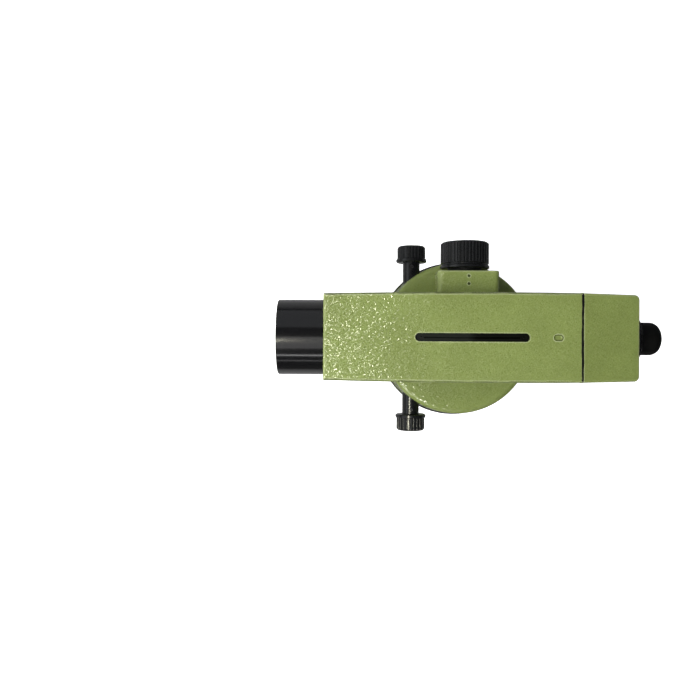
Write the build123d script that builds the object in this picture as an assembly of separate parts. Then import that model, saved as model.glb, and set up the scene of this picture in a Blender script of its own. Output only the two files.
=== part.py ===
"""Automatic level: a surveyor's telescope with a pendulum compensator, on a levelling base.

Frame: the origin is on the vertical axis, at the ground face of the base plate. +Z is up, +X runs
along the line of sight towards the eyepiece, and +Y points at the side with the focusing knob.
All sizes are in millimetres.
"""

import math
import os

from build123d import *

# Clearances and broken edges
fixed_gap = 0.05  # round pieces that are fixed in each other
run_gap = 0.06  # a shaft in its bearing
slide_gap = 0.3  # pieces that move past each other
small_edge = 0.8  # the usual turned chamfer

# Base plate, with the tripod thread, three ball sockets and the sprung plate over them
thread_radius = 6.9
foot_circle = 43.0
foot_angles = {"front": 180.0, "left": -60.0, "right": 60.0}
base_margin = 13.0
base_rim = 2.5
ball_radius = 4.5
ball_floor = 1.5
ball_cover = 3.0
socket_gap = 0.15
spring_thickness = 0.8
spring_inner = 12.0
spring_outer = 32.0
spring_arm = 8.5
spring_screw_circle = 24.0
spring_screw_radius = 1.5
spring_screw_head = 3.0
spring_screw_depth = 5.5
relief_half = 6.0
relief_depth = 2.5

# Foot screws, each with a swivelling ball foot
neck_radius = 2.6
neck_length = 12.0
foot_wheel_radius = 16.5
foot_wheel_lift = 2.8
foot_wheel_height = 12.6
foot_wheel_ribs = 30
foot_wheel_groove = 1.15
foot_collar = 2.5
foot_collar_height = 0.6
foot_stem_radius = 4.0
foot_travel = 2.3
foot_clearance = 1.1
stem_clearance = 0.7
foot_bush_wall = 3.5

# Tribrach, spindle and horizontal circle
tribrach_thickness = 7.4
tribrach_radius = 38.0
tribrach_arm_radius = 12.0
tribrach_cap = 0.6
hub_floor_thickness = 3.0
hub_wall = 4.8
hub_gap = 0.4
hub_shoulder = 4.0
hub_foot_depth = 8.0
hub_over_wheel = 2.0
spindle_radius = 8.0
spindle_flange = 4.0
spindle_flange_thickness = 2.0
spindle_below_roof = 7.0
cap_screw_radius = 2.0
cap_screw_head = 9.8
cap_screw_length = 8.5
circle_radius = 59.8
circle_seat_radius = 45.0
circle_gap = 0.6
circle_height = 5.2
circle_ribs = 90

# Endless horizontal drive: a worm in the hood turns against a wheel on a slipping clutch
worm_pitch = 2.0
worm_turns = 6
worm_radius = 5.15
worm_end = 6.0
worm_lug = 5.0
wheel_teeth = 90
wheel_width = 6.0
drive_shaft_step = 0.5
clutch_spring_height = 1.2
wheel_ring_height = 0.8
bracket_wall = 2.0
bracket_plate = 3.0

# Drive knobs
drive_hub_radius = 6.45
drive_hub_length = 22.5
drive_knob_radius = 10.8
drive_knob_collar = 0.9
drive_knob_length = 12.6
drive_knob_setback = 1.4
drive_knob_ribs = 26
drive_knob_groove = 0.85
drive_shaft_in_knob = 6.0
grub_radius = 1.2
grub_setback = 3.4

# Hood over the drive
hood_gap = 0.8
hood_lip = 0.65
hood_height = 23.4
hood_setback = 1.5
hood_draft = 1.3
hood_edge = 4.0
hood_wall = 3.2
hood_screw_x = 20.0
hood_screw_y = 19.0
hood_screw_radius = 2.0
hood_screw_head = 3.6
bearing_wall = 2.5
bearing_below_top = 4.0
bearing_boss_wall = 2.2

# Telescope housing
housing_front = -99.3
housing_wall = 3.0
housing_roof = 4.0
housing_floor = 3.5
front_taper = 1.2
seam_taper = 0.3
chin_length = 13.0
chin_height = 9.0
top_edge = 1.4

# Rear cover, which tapers and slopes towards the eyepiece
seam_gap = 0.8
cover_length = 39.5
cover_taper = 0.8
cover_slope = 4.5
cover_rise = 2.0
cover_corner = 3.5
cover_wall = 4.5
spigot_length = 4.0
spigot_wall = 4.0
cover_screw_radius = 1.25
cover_screw_head = 2.4
cover_screw_length = 5.5
cover_screw_inset = 12.0

# Objective barrel and lenses
barrel_radius = 26.35
barrel_reach = 32.3
barrel_seat = 27.3
barrel_shoulder = 1.0
barrel_step = 0.5
barrel_wall = 2.35
barrel_above = 3.65
barrel_side = 0.65
objective_setback = 5.9
objective_ledge = 1.5
crown_thickness = 3.7
flint_thickness = 5.0
objective_seat = 1.9
front_sag = 1.8
joint_sag = 1.2

# Focusing: a lens cell slides in a guide tube, driven by a rack and pinion
guide_clearance = 8.0
guide_step = 9.3
guide_wall = 2.2
guide_margin = 6.0
guide_web = 5.0
cell_setback = 24.0
cell_length = 24.0
cell_wall = 3.0
focus_travel = 18.0
focusing_lens_seat = 10.0
focusing_lens_thickness = 4.2
gear_module = 0.5
pinion_teeth = 12
gear_width = 4.5
gear_clearance = 0.35
rack_thickness = 0.6
rack_lug = 3.0
pinion_setback = 7.5
pinion_shaft_radius = 2.5
pinion_shaft_in_knob = 9.0
focus_drop = 7.0
focus_bush_radius = 6.0
focus_bush_flange = 12.0
boss_margin = 4.3
boss_above = 1.9
boss_reach = 16.6
boss_edge = 3.3
boss_rim = 1.2
boss_screw_radius = 1.0
boss_screw_insets = (9.2, 3.8)
focus_knob_radius = 17.1
focus_knob_length = 19.2
focus_knob_gap = 2.2
focus_knob_ribs = 44
focus_knob_groove = 0.85
knob_recess_radius = 8.0
knob_recess_depth = 1.2
knob_screw_radius = 1.5

# Compensator: two fixed prisms, and a third that hangs from four wires
frame_clearance = 14.0
frame_half_length = 18.0
frame_plate = 1.5
frame_foot = 2.0
bridge_half_length = 12.0
bridge_height = 3.0
bridge_below_roof = 3.0
prism_leg = 12.0
prism_spacing = 2.0
prism_side = 1.0
light_gap = 4.0
pendulum_plate = 1.4
pendulum_side = 1.6
pendulum_above_sight = 12.0
bar_above_damper = 2.45
wire_radius = 0.2
wire_spread_top = 9.0
wire_spread_foot = 3.5
damper_radius = 4.5
damper_wall = 1.2
damper_floor_gap = 0.5
damper_length = 10.0
damper_disc = 2.5

# Reticle and eyepiece
reticle_setback = 30.9
reticle_thickness = 1.5
reticle_cell_half = 2.5
reticle_screw_radius = 1.2
reticle_screw_head = 2.2
eyepiece_barrel_radius = 8.6
eyepiece_space = 1.4
eyepiece_neck_wall = 1.4
eyepiece_sleeve_wall = 2.9
eyepiece_flange = 2.05
eyepiece_flange_thickness = 2.4
dioptre_ring_wall = 4.55
dioptre_ring_length = 7.25
dioptre_ribs = 36
dioptre_groove = 0.85
neck_setback = 3.8
eyecup_wall = 2.95
eyecup_length = 14.7
eyecup_rounding = 6.7
eyecup_skin = 1.8
peephole_margin = 0.85
eye_relief = 7.4
lens_barrel_wall = 1.2
lens_barrel_start = 12.0

# Top of the housing: sighting channel and sealed adjuster
slot_setback = 60.7
slot_length = 75.9
slot_width = 5.7
slot_depth = 2.6
sight_bar_height = 1.1
sight_groove = 1.0
sight_groove_inset = 6.0
bead_inset = 4.0
bead_radius = 0.9
adjuster_setback = 15.8
adjuster_length = 6.6
adjuster_width = 4.4
adjuster_depth = 1.2
adjuster_plug_height = 0.6

# Circular bubble behind a window in the side without the focusing knob
bubble_setback = 27.0
bubble_radius = 5.2
bubble_cup_wall = 1.1
bubble_cup_height = 6.0
bubble_cup_floor = 1.2
bubble_wall_gap = 0.2
bubble_frame_gap = 0.5
window_size = 14.0
window_above_cup = 2.0
bezel_wall = 1.2
bezel_proud = 0.6

# Heights, from the ground up
ball_height = ball_floor + ball_radius
base_height = ball_height + ball_cover
spring_top = base_height + spring_thickness
foot_wheel_bottom = spring_top + foot_wheel_lift
foot_wheel_top = foot_wheel_bottom + foot_wheel_height
tribrach_bottom = foot_wheel_top + foot_travel + foot_clearance
tribrach_top = tribrach_bottom + tribrach_thickness
circle_bottom = tribrach_top + circle_gap
circle_top = circle_bottom + circle_height
foot_stem_top = circle_bottom - foot_travel - stem_clearance
hub_floor = tribrach_top + hub_floor_thickness
hub_foot = tribrach_bottom - hub_foot_depth
hood_bottom = circle_top + hood_gap
drive_height = hood_bottom + hood_lip + slide_gap + drive_hub_radius
wheel_low = drive_height - wheel_width / 2
wheel_high = drive_height + wheel_width / 2
hub_top = wheel_high + hub_over_wheel
hood_top = hood_bottom + hood_height
hood_roof = hood_top - hood_wall
spindle_top = hood_top - spindle_below_roof
floor_top = hood_top + housing_floor
damper_height = floor_top + damper_floor_gap + damper_radius + slide_gap + damper_wall
bar_top = damper_height + bar_above_damper
hanging_prism_low = bar_top + fixed_gap
hanging_prism_depth = prism_leg - 0.5
hanging_prism_high = hanging_prism_low + hanging_prism_depth
fixed_prism_low = hanging_prism_high + light_gap
fixed_prism_high = fixed_prism_low + prism_leg
sight_height = fixed_prism_low + prism_leg / 2
pendulum_top = sight_height + pendulum_above_sight
roof_bottom = sight_height + barrel_radius + barrel_above
bridge_top = roof_bottom - bridge_below_roof
housing_top = roof_bottom + housing_roof
focus_height = sight_height - focus_drop
boss_top = focus_height + focus_knob_radius + boss_above
window_bottom = floor_top + bubble_cup_height + window_above_cup
window_top = window_bottom + window_size

# Places along the line of sight, from the objective to the eyepiece
barrel_front = housing_front - barrel_reach
barrel_rear = housing_front + barrel_seat
objective_front = barrel_front + objective_setback
objective_joint = objective_front + objective_seat + crown_thickness
objective_back = objective_joint + flint_thickness
guide_front = barrel_rear + guide_clearance
cell_front = guide_front + cell_setback
guide_rear = cell_front + cell_length + focus_travel + guide_margin
focus_x = guide_rear - pinion_setback
frame_front = guide_rear + frame_clearance
pendulum_x = frame_front + frame_half_length
frame_rear = pendulum_x + frame_half_length
housing_seam = frame_rear + damper_length + spigot_length
cover_start = housing_seam + seam_gap
cover_rear = housing_seam + cover_length
reticle_x = cover_rear - reticle_setback
dioptre_ring_start = cover_rear + fixed_gap + eyepiece_flange_thickness + slide_gap
dioptre_ring_end = dioptre_ring_start + dioptre_ring_length
eyepiece_neck_end = dioptre_ring_end - neck_setback
eyepiece_end = dioptre_ring_end + eyecup_length
lens_barrel_end = eyepiece_end - eye_relief
slot_start = housing_front + slot_setback
slot_end = slot_start + slot_length
slot_middle = (slot_start + slot_end) / 2
adjuster_x = housing_seam - adjuster_setback
bubble_x = housing_seam - bubble_setback

# Radii and half widths, from the middle outwards
base_radius = foot_circle + base_margin
foot_bush_radius = foot_stem_radius + foot_bush_wall
bearing_radius = spindle_radius + run_gap + bearing_wall
bearing_boss_radius = bearing_radius + fixed_gap + bearing_boss_wall
hub_bore = bearing_boss_radius + hub_gap
hub_radius = hub_bore + hub_wall
spindle_flange_radius = spindle_radius + spindle_flange
hood_radius_bottom = circle_radius - hood_setback
hood_radius_top = hood_radius_bottom - hood_draft
tooth_above = worm_pitch * 0.25
tooth_below = worm_pitch * 0.325
tooth_width = worm_pitch * 0.4
tooth_slope = 0.35
wheel_radius = wheel_teeth * worm_pitch / (2 * math.pi)
drive_x = -(wheel_radius + worm_radius)
drive_shaft_radius = worm_radius - tooth_below - drive_shaft_step
worm_half = worm_turns * worm_pitch / 2
worm_lug_start = worm_half + worm_end
worm_lug_end = worm_lug_start + worm_lug
drive_knob_inner = circle_radius - drive_knob_setback
drive_knob_outer = drive_knob_inner + drive_knob_length
drive_hub_inner = drive_knob_inner - drive_hub_length
drive_grub_y = drive_knob_inner - grub_setback
barrel_bore = barrel_radius - barrel_wall
barrel_seat_radius = barrel_radius - barrel_step
objective_stop = barrel_bore - objective_ledge
inner_half_width = barrel_radius + barrel_side
half_width = inner_half_width + housing_wall
front_half_width = half_width - front_taper
seam_half_width = half_width - seam_taper
cover_half_width = seam_half_width - cover_taper
guide_bore = barrel_radius - guide_step
guide_radius = guide_bore + guide_wall
gear_inner = guide_radius + gear_clearance
gear_outer = gear_inner + gear_width
rack_line = focus_height + gear_module * pinion_teeth / 2
rack_top = rack_line + gear_module + rack_lug
boss_half_width = focus_knob_radius + boss_margin
boss_face = half_width + boss_reach
focus_knob_inner = boss_face + focus_knob_gap
focus_knob_outer = focus_knob_inner + focus_knob_length
bubble_cup_radius = bubble_radius + bubble_cup_wall
bubble_y = -(inner_half_width - bubble_wall_gap - bubble_cup_radius)
frame_half_width = -bubble_y - bubble_cup_radius - bubble_frame_gap
pendulum_outer = frame_half_width - frame_plate - pendulum_side
pendulum_inner = pendulum_outer - pendulum_plate
prism_half_width = pendulum_inner - prism_side
damper_bore = damper_radius + slide_gap
eyepiece_bore = eyepiece_barrel_radius + eyepiece_space
eyepiece_neck_radius = eyepiece_bore + eyepiece_neck_wall
eyepiece_sleeve_radius = eyepiece_bore + eyepiece_sleeve_wall
dioptre_ring_radius = eyepiece_neck_radius + dioptre_ring_wall
eyepiece_flange_radius = dioptre_ring_radius + eyepiece_flange
eyecup_radius = eyepiece_barrel_radius + eyecup_wall
eyecup_spigot = eyecup_radius - eyecup_skin
peephole_radius = eyecup_radius - eyecup_rounding - peephole_margin
reticle_cell_radius = eyepiece_bore - slide_gap
reticle_radius = reticle_cell_radius - 1.5

beyond = 1.0  # how far a cutter runs past the face that it cuts


def turned_z(points, x=0.0, y=0.0):
    """A solid turned about a vertical axis, from its outline as (radius, height) points."""
    outline = make_face(Plane.XZ * Polyline(*points, close=True))
    return Pos(x, y, 0) * revolve(outline, Axis.Z)


def turned_x(points, height=sight_height):
    """A solid turned about an axis along X at a height, from (place, radius) points."""
    outline = make_face(Polyline(*points, close=True))
    return Pos(0, 0, height) * revolve(outline, Axis.X)


def turned_y(points, x=0.0, height=0.0):
    """A solid turned about an axis along Y, from (place along Y, radius) points."""
    outline = make_face(Polyline(*[(radius, y) for y, radius in points], close=True))
    return Pos(x, 0, height) * revolve(outline, Axis.Y)


def ring_z(inner, outer, low, high):
    """A plain ring about the vertical axis; an inner radius of 0 makes a disc."""
    return turned_z([(inner, low), (outer, low), (outer, high), (inner, high)])


def rod_z(radius, low, high, x=0.0, y=0.0):
    """A round rod standing upright from low to high."""
    return Pos(x, y, (low + high) / 2) * Cylinder(radius, high - low)


def rod_y(radius, start, end, x=0.0, height=0.0):
    """A round rod along Y."""
    return Pos(x, (start + end) / 2, height) * Rot(X=90) * Cylinder(radius, end - start)


def rod_x(radius, start, end, y=0.0, height=sight_height):
    """A round rod along X."""
    return Pos((start + end) / 2, y, height) * Rot(Y=90) * Cylinder(radius, end - start)


def block(low, high):
    """A box between two opposite corners."""
    size = [b - a for a, b in zip(low, high)]
    middle = [(a + b) / 2 for a, b in zip(low, high)]
    return Pos(*middle) * Box(*size)


def plate_xz(points, y_low, y_high):
    """A flat plate with an outline of (X, Z) points, between two values of Y."""
    outline = Plane.XZ * make_face(Polyline(*points, close=True))
    return Pos(0, y_high, 0) * extrude(outline, y_high - y_low)


def obround(length, width, low, high, x):
    """A slot shape with round ends, lying along X."""
    return Pos(x, 0, low) * extrude(SlotOverall(length, width), high - low)


def grooves(count, circle_radius, groove_radius, length):
    """Round cutters standing on a circle, which leave the ribs of a grip between them."""
    cutter = Cylinder(groove_radius, length)
    return [Rot(Z=360 / count * i) * Pos(circle_radius, 0, 0) * cutter for i in range(count)]


def foot_place(name):
    """Where a foot screw stands, as X and Y."""
    angle = math.radians(foot_angles[name])
    return foot_circle * math.cos(angle), foot_circle * math.sin(angle)


def rounded_corner(start, corner, end):
    """The quarter arc that rounds a square corner between two points."""
    bulge = 1 - math.cos(math.radians(45))
    middle = [c + ((s - c) + (e - c)) * bulge for s, c, e in zip(start, corner, end)]
    return ThreePointArc(start, tuple(middle), end)


def lens(radius, front, back, front_sag, back_sag):
    """A lens with ground faces; a positive sag bulges outwards at the middle of that face."""
    edges = [Line((front, radius), (back, radius)), Line((back + back_sag, 0), (front - front_sag, 0))]
    for face, bulge in ((front, -front_sag), (back, back_sag)):
        if bulge:
            ball = (radius**2 + bulge**2) / (2 * abs(bulge))
            rise = abs(bulge) - ball + math.sqrt(ball**2 - radius**2 / 4)
            middle = (face + math.copysign(rise, bulge), radius / 2)
            edges.append(ThreePointArc((face, radius), middle, (face + bulge, 0)))
        else:
            edges.append(Line((face, radius), (face, 0)))
    return Pos(0, 0, sight_height) * revolve(make_face(edges), Axis.X)


# Base plate: a round casting with the tripod thread in the middle and a socket for each ball foot


def base_plate():
    plate = ring_z(thread_radius, base_radius, 0, base_height)
    rim = plate.edges().filter_by(GeomType.CIRCLE).group_by(SortBy.RADIUS)[-1]
    plate = fillet(rim, base_rim)
    relief = (spring_screw_circle - relief_half, spring_screw_circle + relief_half)
    plate -= ring_z(*relief, base_height - relief_depth, base_height + beyond)
    socket_radius = ball_radius + socket_gap
    for name in foot_angles:
        x, y = foot_place(name)
        plate -= Pos(x, y, ball_height) * Sphere(socket_radius)
        plate -= rod_z(socket_radius, ball_height, base_height + beyond, x, y)
    hole_floor = base_height - spring_screw_depth - 2 * run_gap
    for x, y in spring_screw_places():
        plate -= rod_z(spring_screw_radius + fixed_gap, hole_floor, base_height + beyond, x, y)
    return plate


def spring_screw_places():
    """The screws stand halfway between the ball sockets."""
    angles = [math.radians(angle + 60) for angle in foot_angles.values()]
    return [(spring_screw_circle * math.cos(a), spring_screw_circle * math.sin(a)) for a in angles]


def spring_plate():
    """The thin steel plate that keeps the ball feet in their sockets."""
    neck_hole = math.sqrt(ball_radius**2 - ball_cover**2) + slide_gap
    plate = ring_z(spring_inner, spring_outer, base_height, spring_top)
    for name, angle in foot_angles.items():
        low = (spring_outer - relief_half, -spring_arm, base_height)
        plate += Rot(Z=angle) * block(low, (foot_circle, spring_arm, spring_top))
        plate += rod_z(spring_arm, base_height, spring_top, *foot_place(name))
    for name in foot_angles:
        plate -= rod_z(neck_hole, base_height - beyond, spring_top + beyond, *foot_place(name))
    for place in spring_screw_places():
        hole_radius = spring_screw_radius + fixed_gap
        plate -= rod_z(hole_radius, base_height - beyond, spring_top + beyond, *place)
    return plate


def spring_screws():
    tip = base_height - spring_screw_depth
    rim = spring_top + 1.0
    crown = spring_top + 1.6
    shape = [(0, tip), (spring_screw_radius, tip), (spring_screw_radius, spring_top)]
    shape += [(spring_screw_head, spring_top), (spring_screw_head, rim)]
    shape += [(spring_screw_head - 1.0, crown), (0, crown)]
    return [turned_z(shape, *place) for place in spring_screw_places()]


# Foot screws: each stands on a ball that swivels in the base plate, and climbs in the tribrach


def foot_ball(name):
    x, y = foot_place(name)
    ball = Pos(x, y, ball_height) * Sphere(ball_radius)
    return ball + rod_z(neck_radius, ball_height + ball_radius / 2, ball_height + neck_length, x, y)


def foot_screw(name):
    x, y = foot_place(name)
    low = foot_wheel_bottom
    high = foot_wheel_top
    r = foot_wheel_radius
    collar = foot_stem_radius + foot_collar
    collar_top = high + foot_collar_height
    bore = neck_radius + run_gap
    bore_top = ball_height + neck_length + fixed_gap
    shape = [(bore, low), (r - 4.5, low), (r - 0.8, low + 2.2), (r, low + 3.0)]
    shape += [(r, high - 1.4), (r - 1.4, high), (collar + 2.5, high), (collar, collar_top)]
    shape += [(foot_stem_radius, collar_top), (foot_stem_radius, foot_stem_top - 0.6)]
    shape += [(foot_stem_radius - 0.6, foot_stem_top), (0, foot_stem_top), (0, bore_top), (bore, bore_top)]
    screw = turned_z(shape)
    grip = grooves(foot_wheel_ribs, r + foot_wheel_groove / 2, foot_wheel_groove, foot_wheel_height + 2)
    screw -= [Pos(0, 0, (low + high) / 2) * cutter for cutter in grip]
    return Pos(x, y, 0) * screw


# Tribrach: a three-armed casting with the bushes of the foot screws and the hub of the drive


def tribrach():
    body = ring_z(0, tribrach_radius, tribrach_bottom, tribrach_top)
    for name in foot_angles:
        body += rod_z(tribrach_arm_radius, tribrach_bottom, tribrach_top, *foot_place(name))
    body += ring_z(0, circle_seat_radius, tribrach_top - beyond, circle_top - beyond)
    shoulder = wheel_low - clutch_spring_height - fixed_gap
    shoulder_radius = hub_radius + hub_shoulder
    body += turned_z([
        (0, circle_bottom), (shoulder_radius, circle_bottom), (shoulder_radius, shoulder),
        (hub_radius, shoulder), (hub_radius, hub_top), (0, hub_top),
    ])
    foot_radius = spindle_flange_radius + 4.0
    body += turned_z([(0, hub_foot), (foot_radius, hub_foot), (foot_radius + 4.0, tribrach_bottom),
                      (0, tribrach_bottom)])
    body -= rod_z(hub_bore, hub_floor, hub_top + beyond)
    body -= rod_z(spindle_radius + fixed_gap, hub_foot - beyond, hub_floor + beyond)
    ring_low = wheel_high + run_gap
    ring_high = wheel_high + 2 * run_gap + wheel_ring_height + run_gap
    body -= ring_z(hub_radius - 1.0, hub_radius + beyond, ring_low, ring_high)
    for name in foot_angles:
        x, y = foot_place(name)
        cap = tribrach_top - tribrach_cap
        stem_hole = foot_stem_top + foot_travel + slide_gap
        body -= rod_z(foot_bush_radius + fixed_gap, tribrach_bottom - beyond, cap, x, y)
        body -= rod_z(foot_stem_radius + slide_gap, tribrach_bottom, stem_hole, x, y)
    return body


def foot_bushes():
    bore = foot_stem_radius + run_gap
    top = tribrach_top - tribrach_cap - fixed_gap
    bush = ring_z(bore, foot_bush_radius, tribrach_bottom, top)
    return [Pos(*foot_place(name), 0) * bush for name in foot_angles]


def spindle():
    """The steel axis on which the whole upper part turns, with a flange under the tribrach."""
    flange_top = hub_foot - fixed_gap
    flange_low = hub_foot - spindle_flange_thickness
    shape = [(0, flange_low), (spindle_flange_radius, flange_low), (spindle_flange_radius, flange_top)]
    shape += [(spindle_radius, flange_top), (spindle_radius, spindle_top), (0, spindle_top)]
    hole_floor = spindle_top - cap_screw_length - 0.5
    return turned_z(shape) - rod_z(cap_screw_radius + fixed_gap, hole_floor, spindle_top + beyond)


def spindle_screw():
    """The wide-headed screw that keeps the upper part from lifting off its axis."""
    seat = spindle_top + fixed_gap
    crown = seat + 2.6
    shape = [(0, spindle_top - cap_screw_length), (cap_screw_radius, spindle_top - cap_screw_length)]
    shape += [(cap_screw_radius, seat), (cap_screw_head, seat), (cap_screw_head, seat + 1.2)]
    shape += [(cap_screw_head - 5.8, crown), (0, crown)]
    slot = block((-5, -0.5, crown - 0.9), (5, 0.5, crown + beyond))
    return turned_z(shape) - slot


def horizontal_circle():
    """The graduated ring, set to zero by hand at its ribbed edge."""
    r = circle_radius
    low = circle_bottom
    high = circle_top
    inner = circle_seat_radius + run_gap
    under_hood = hood_radius_bottom - 1.5
    shape = [(inner, low), (r - small_edge, low), (r, low + small_edge), (r, high - 1.0)]
    shape += [(r - small_edge, high - 0.2), (under_hood, high), (inner, high)]
    groove_radius = 0.9
    grip = grooves(circle_ribs, r + 0.5, groove_radius, circle_height + 2)
    return turned_z(shape) - [Pos(0, 0, (low + high) / 2) * cutter for cutter in grip]


# Drive wheel, its clutch and the worm


def worm_wheel():
    root = wheel_radius - tooth_below
    tip = wheel_radius + tooth_above
    wheel = ring_z(hub_radius + run_gap, root, wheel_low, wheel_high)
    at_root = tooth_width / 2 + tooth_slope * tooth_below
    at_tip = tooth_width / 2 - tooth_slope * tooth_above
    corners = [(root - 0.3, -at_root), (tip, -at_tip), (tip, at_tip), (root - 0.3, at_root)]
    tooth = Pos(0, 0, wheel_low) * extrude(make_face(Polyline(*corners, close=True)), wheel_width)
    step = 360 / wheel_teeth
    return wheel + [Rot(Z=180 + step * (i + 0.5)) * tooth for i in range(wheel_teeth)]


def clutch_spring():
    """A sprung washer that presses the wheel on its hub, and slips when the level is swung by hand."""
    high = wheel_low - fixed_gap
    low = wheel_low - clutch_spring_height
    sheet = 0.6
    inner = hub_radius + run_gap
    outer = hub_radius + hub_shoulder + 1.0
    shape = [(inner, high - sheet), (inner + 2, low), (outer, low), (outer, low + sheet)]
    shape += [(inner + 2.4, low + sheet), (inner + 0.8, high), (inner, high)]
    return turned_z(shape)


def wheel_ring():
    """The open spring ring that keeps the wheel on its hub."""
    low = wheel_high + 2 * run_gap
    inner = hub_radius - 1.0 + fixed_gap
    outer = hub_radius + 2.5
    ring = ring_z(inner, outer, low, low + wheel_ring_height)
    half_opening = 2.0
    high = low + wheel_ring_height + beyond
    return ring - block((0, -half_opening, low - beyond), (outer + beyond, half_opening, high))


def drive_shaft():
    """The shaft across the hood, with the worm cut on its middle."""
    core = worm_radius - tooth_below
    sunk = 0.15
    wide = tooth_width / 2 + tooth_slope * (tooth_below + sunk)
    narrow = tooth_width / 2 - tooth_slope * tooth_above
    path = Helix(worm_pitch, 2 * worm_half, core - sunk)
    start = Plane(origin=(core - sunk, 0, 0), x_dir=(1, 0, 0), z_dir=(0, 1, 0))
    height = tooth_below + tooth_above + sunk
    outline = Polyline((0, -wide), (height, -narrow), (height, narrow), (0, wide), close=True)
    thread = Pos(0, 0, -worm_half) * sweep(start * make_face(outline), path=path, is_frenet=True)
    worm = thread + Cylinder(core, 2 * (worm_lug_start - run_gap))
    shaft = Cylinder(drive_shaft_radius, 2 * (drive_knob_inner + drive_shaft_in_knob))
    return Pos(drive_x, 0, drive_height) * Rot(X=-90) * (worm + shaft)


def worm_bracket():
    """The bearing block of the worm, screwed under the roof of the hood."""
    roof = hood_roof - fixed_gap
    half = drive_shaft_radius + bracket_wall
    low_x = drive_x - half
    high_x = drive_x + half
    shape = block((low_x, -worm_lug_end, roof - bracket_plate), (high_x, worm_lug_end, roof))
    for side in (-1, 1):
        start, end = sorted((side * worm_lug_start, side * worm_lug_end))
        shape += block((low_x, start, drive_height), (high_x, end, roof))
        shape += rod_y(half, start, end, drive_x, drive_height)
    bore_end = worm_lug_end + beyond
    return shape - rod_y(drive_shaft_radius + run_gap, -bore_end, bore_end, drive_x, drive_height)


def drive_knob(side):
    """A ribbed knob with a long hub that reaches into the hood; side is 1 on the +Y side."""
    a = drive_knob_inner
    b = drive_knob_outer
    r = drive_knob_radius
    collar = r + drive_knob_collar
    grip_start = a + 3.0
    bore = drive_shaft_radius + fixed_gap
    bore_end = a + drive_shaft_in_knob + fixed_gap
    shape = [(drive_hub_inner, bore), (drive_hub_inner, drive_hub_radius), (a, drive_hub_radius)]
    shape += [(a, collar - 0.9), (a + 0.6, collar), (a + 2.4, collar), (grip_start, r)]
    shape += [(b - 1.2, r), (b, r - 1.2), (b, 0), (bore_end, 0), (bore_end, bore)]
    knob = turned_y(shape)
    length = b - grip_start + beyond
    place = Pos(0, grip_start + length / 2, 0) * Rot(X=90)
    knob -= [place * cutter for cutter in grooves(drive_knob_ribs, r + 0.35, drive_knob_groove, length)]
    knob -= rod_z(grub_radius + fixed_gap, bore - beyond, drive_hub_radius + beyond, 0, drive_grub_y)
    if side < 0:
        knob = mirror(knob, Plane.XZ)
    return Pos(drive_x, 0, drive_height) * knob


def drive_grub_screws():
    """The headless screws that lock both knobs on the shaft."""
    low = drive_height + drive_shaft_radius + fixed_gap
    high = drive_height + drive_hub_radius - slide_gap
    return [rod_z(grub_radius, low, high, drive_x, side * drive_grub_y) for side in (1, -1)]


# Hood: the round cover that carries the telescope and turns on the spindle


def hood():
    top = hood_radius_top
    bottom = hood_radius_bottom
    side = Line((bottom, hood_bottom), (top, hood_top - hood_edge))
    edge = rounded_corner((top, hood_top - hood_edge), (top, hood_top), (top - hood_edge, hood_top))
    inside = Polyline((top - hood_edge, hood_top), (0, hood_top), (0, hood_bottom), (bottom, hood_bottom))
    body = revolve(make_face(Plane.XZ * (side + edge + inside)), Axis.Z)
    wide = bottom - hood_wall
    narrow = top - hood_wall
    body -= turned_z([(0, hood_bottom - beyond), (wide, hood_bottom - beyond), (wide, hood_bottom),
                      (narrow, hood_roof - 2), (narrow - 2, hood_roof), (0, hood_roof)])
    boss_bottom = hub_floor + slide_gap
    sleeve_top = spindle_top - bearing_below_top
    body += ring_z(0, bearing_boss_radius, boss_bottom, hood_roof + beyond)
    body -= rod_z(bearing_radius + fixed_gap, boss_bottom - beyond, sleeve_top)
    body -= rod_z(cap_screw_head + 1.2, sleeve_top, hood_top + beyond)
    hole_end = bottom + beyond
    body -= rod_y(drive_hub_radius + slide_gap, -hole_end, hole_end, drive_x, drive_height)
    for x, y in hood_screw_places():
        body -= rod_z(hood_screw_radius + fixed_gap, hood_roof - beyond, hood_top + beyond, x, y)
    return body


def hood_screw_places():
    return [(x, y) for x in (-hood_screw_x, hood_screw_x) for y in (-hood_screw_y, hood_screw_y)]


def hood_screws():
    seat = hood_roof - fixed_gap
    head = seat - 2.4
    tip = floor_top - 0.5
    shape = [(0, head), (hood_screw_head, head), (hood_screw_head, seat), (hood_screw_radius, seat)]
    shape += [(hood_screw_radius, tip), (0, tip)]
    return [turned_z(shape, *place) for place in hood_screw_places()]


def bearing_sleeve():
    """The bronze bearing that turns on the spindle."""
    low = hub_floor + slide_gap
    high = spindle_top - bearing_below_top - fixed_gap
    return ring_z(spindle_radius + run_gap, bearing_radius, low, high)


# Telescope housing: one casting, open at the rear, with the boss of the focusing knob


def housing_block(inset, low, high):
    """The housing in plan, with slightly barrelled sides, and the walls moved in by the inset."""
    a = housing_front + inset
    b = housing_seam
    f = front_half_width - inset
    w = half_width - inset
    r = seam_half_width - inset
    outline = [ThreePointArc((a, side * f), ((a + b) / 2, side * w), (b, side * r)) for side in (-1, 1)]
    outline += [Line((a, -f), (a, f)), Line((b, -r), (b, r))]
    return Pos(0, 0, low) * extrude(make_face(outline), high - low)


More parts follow.
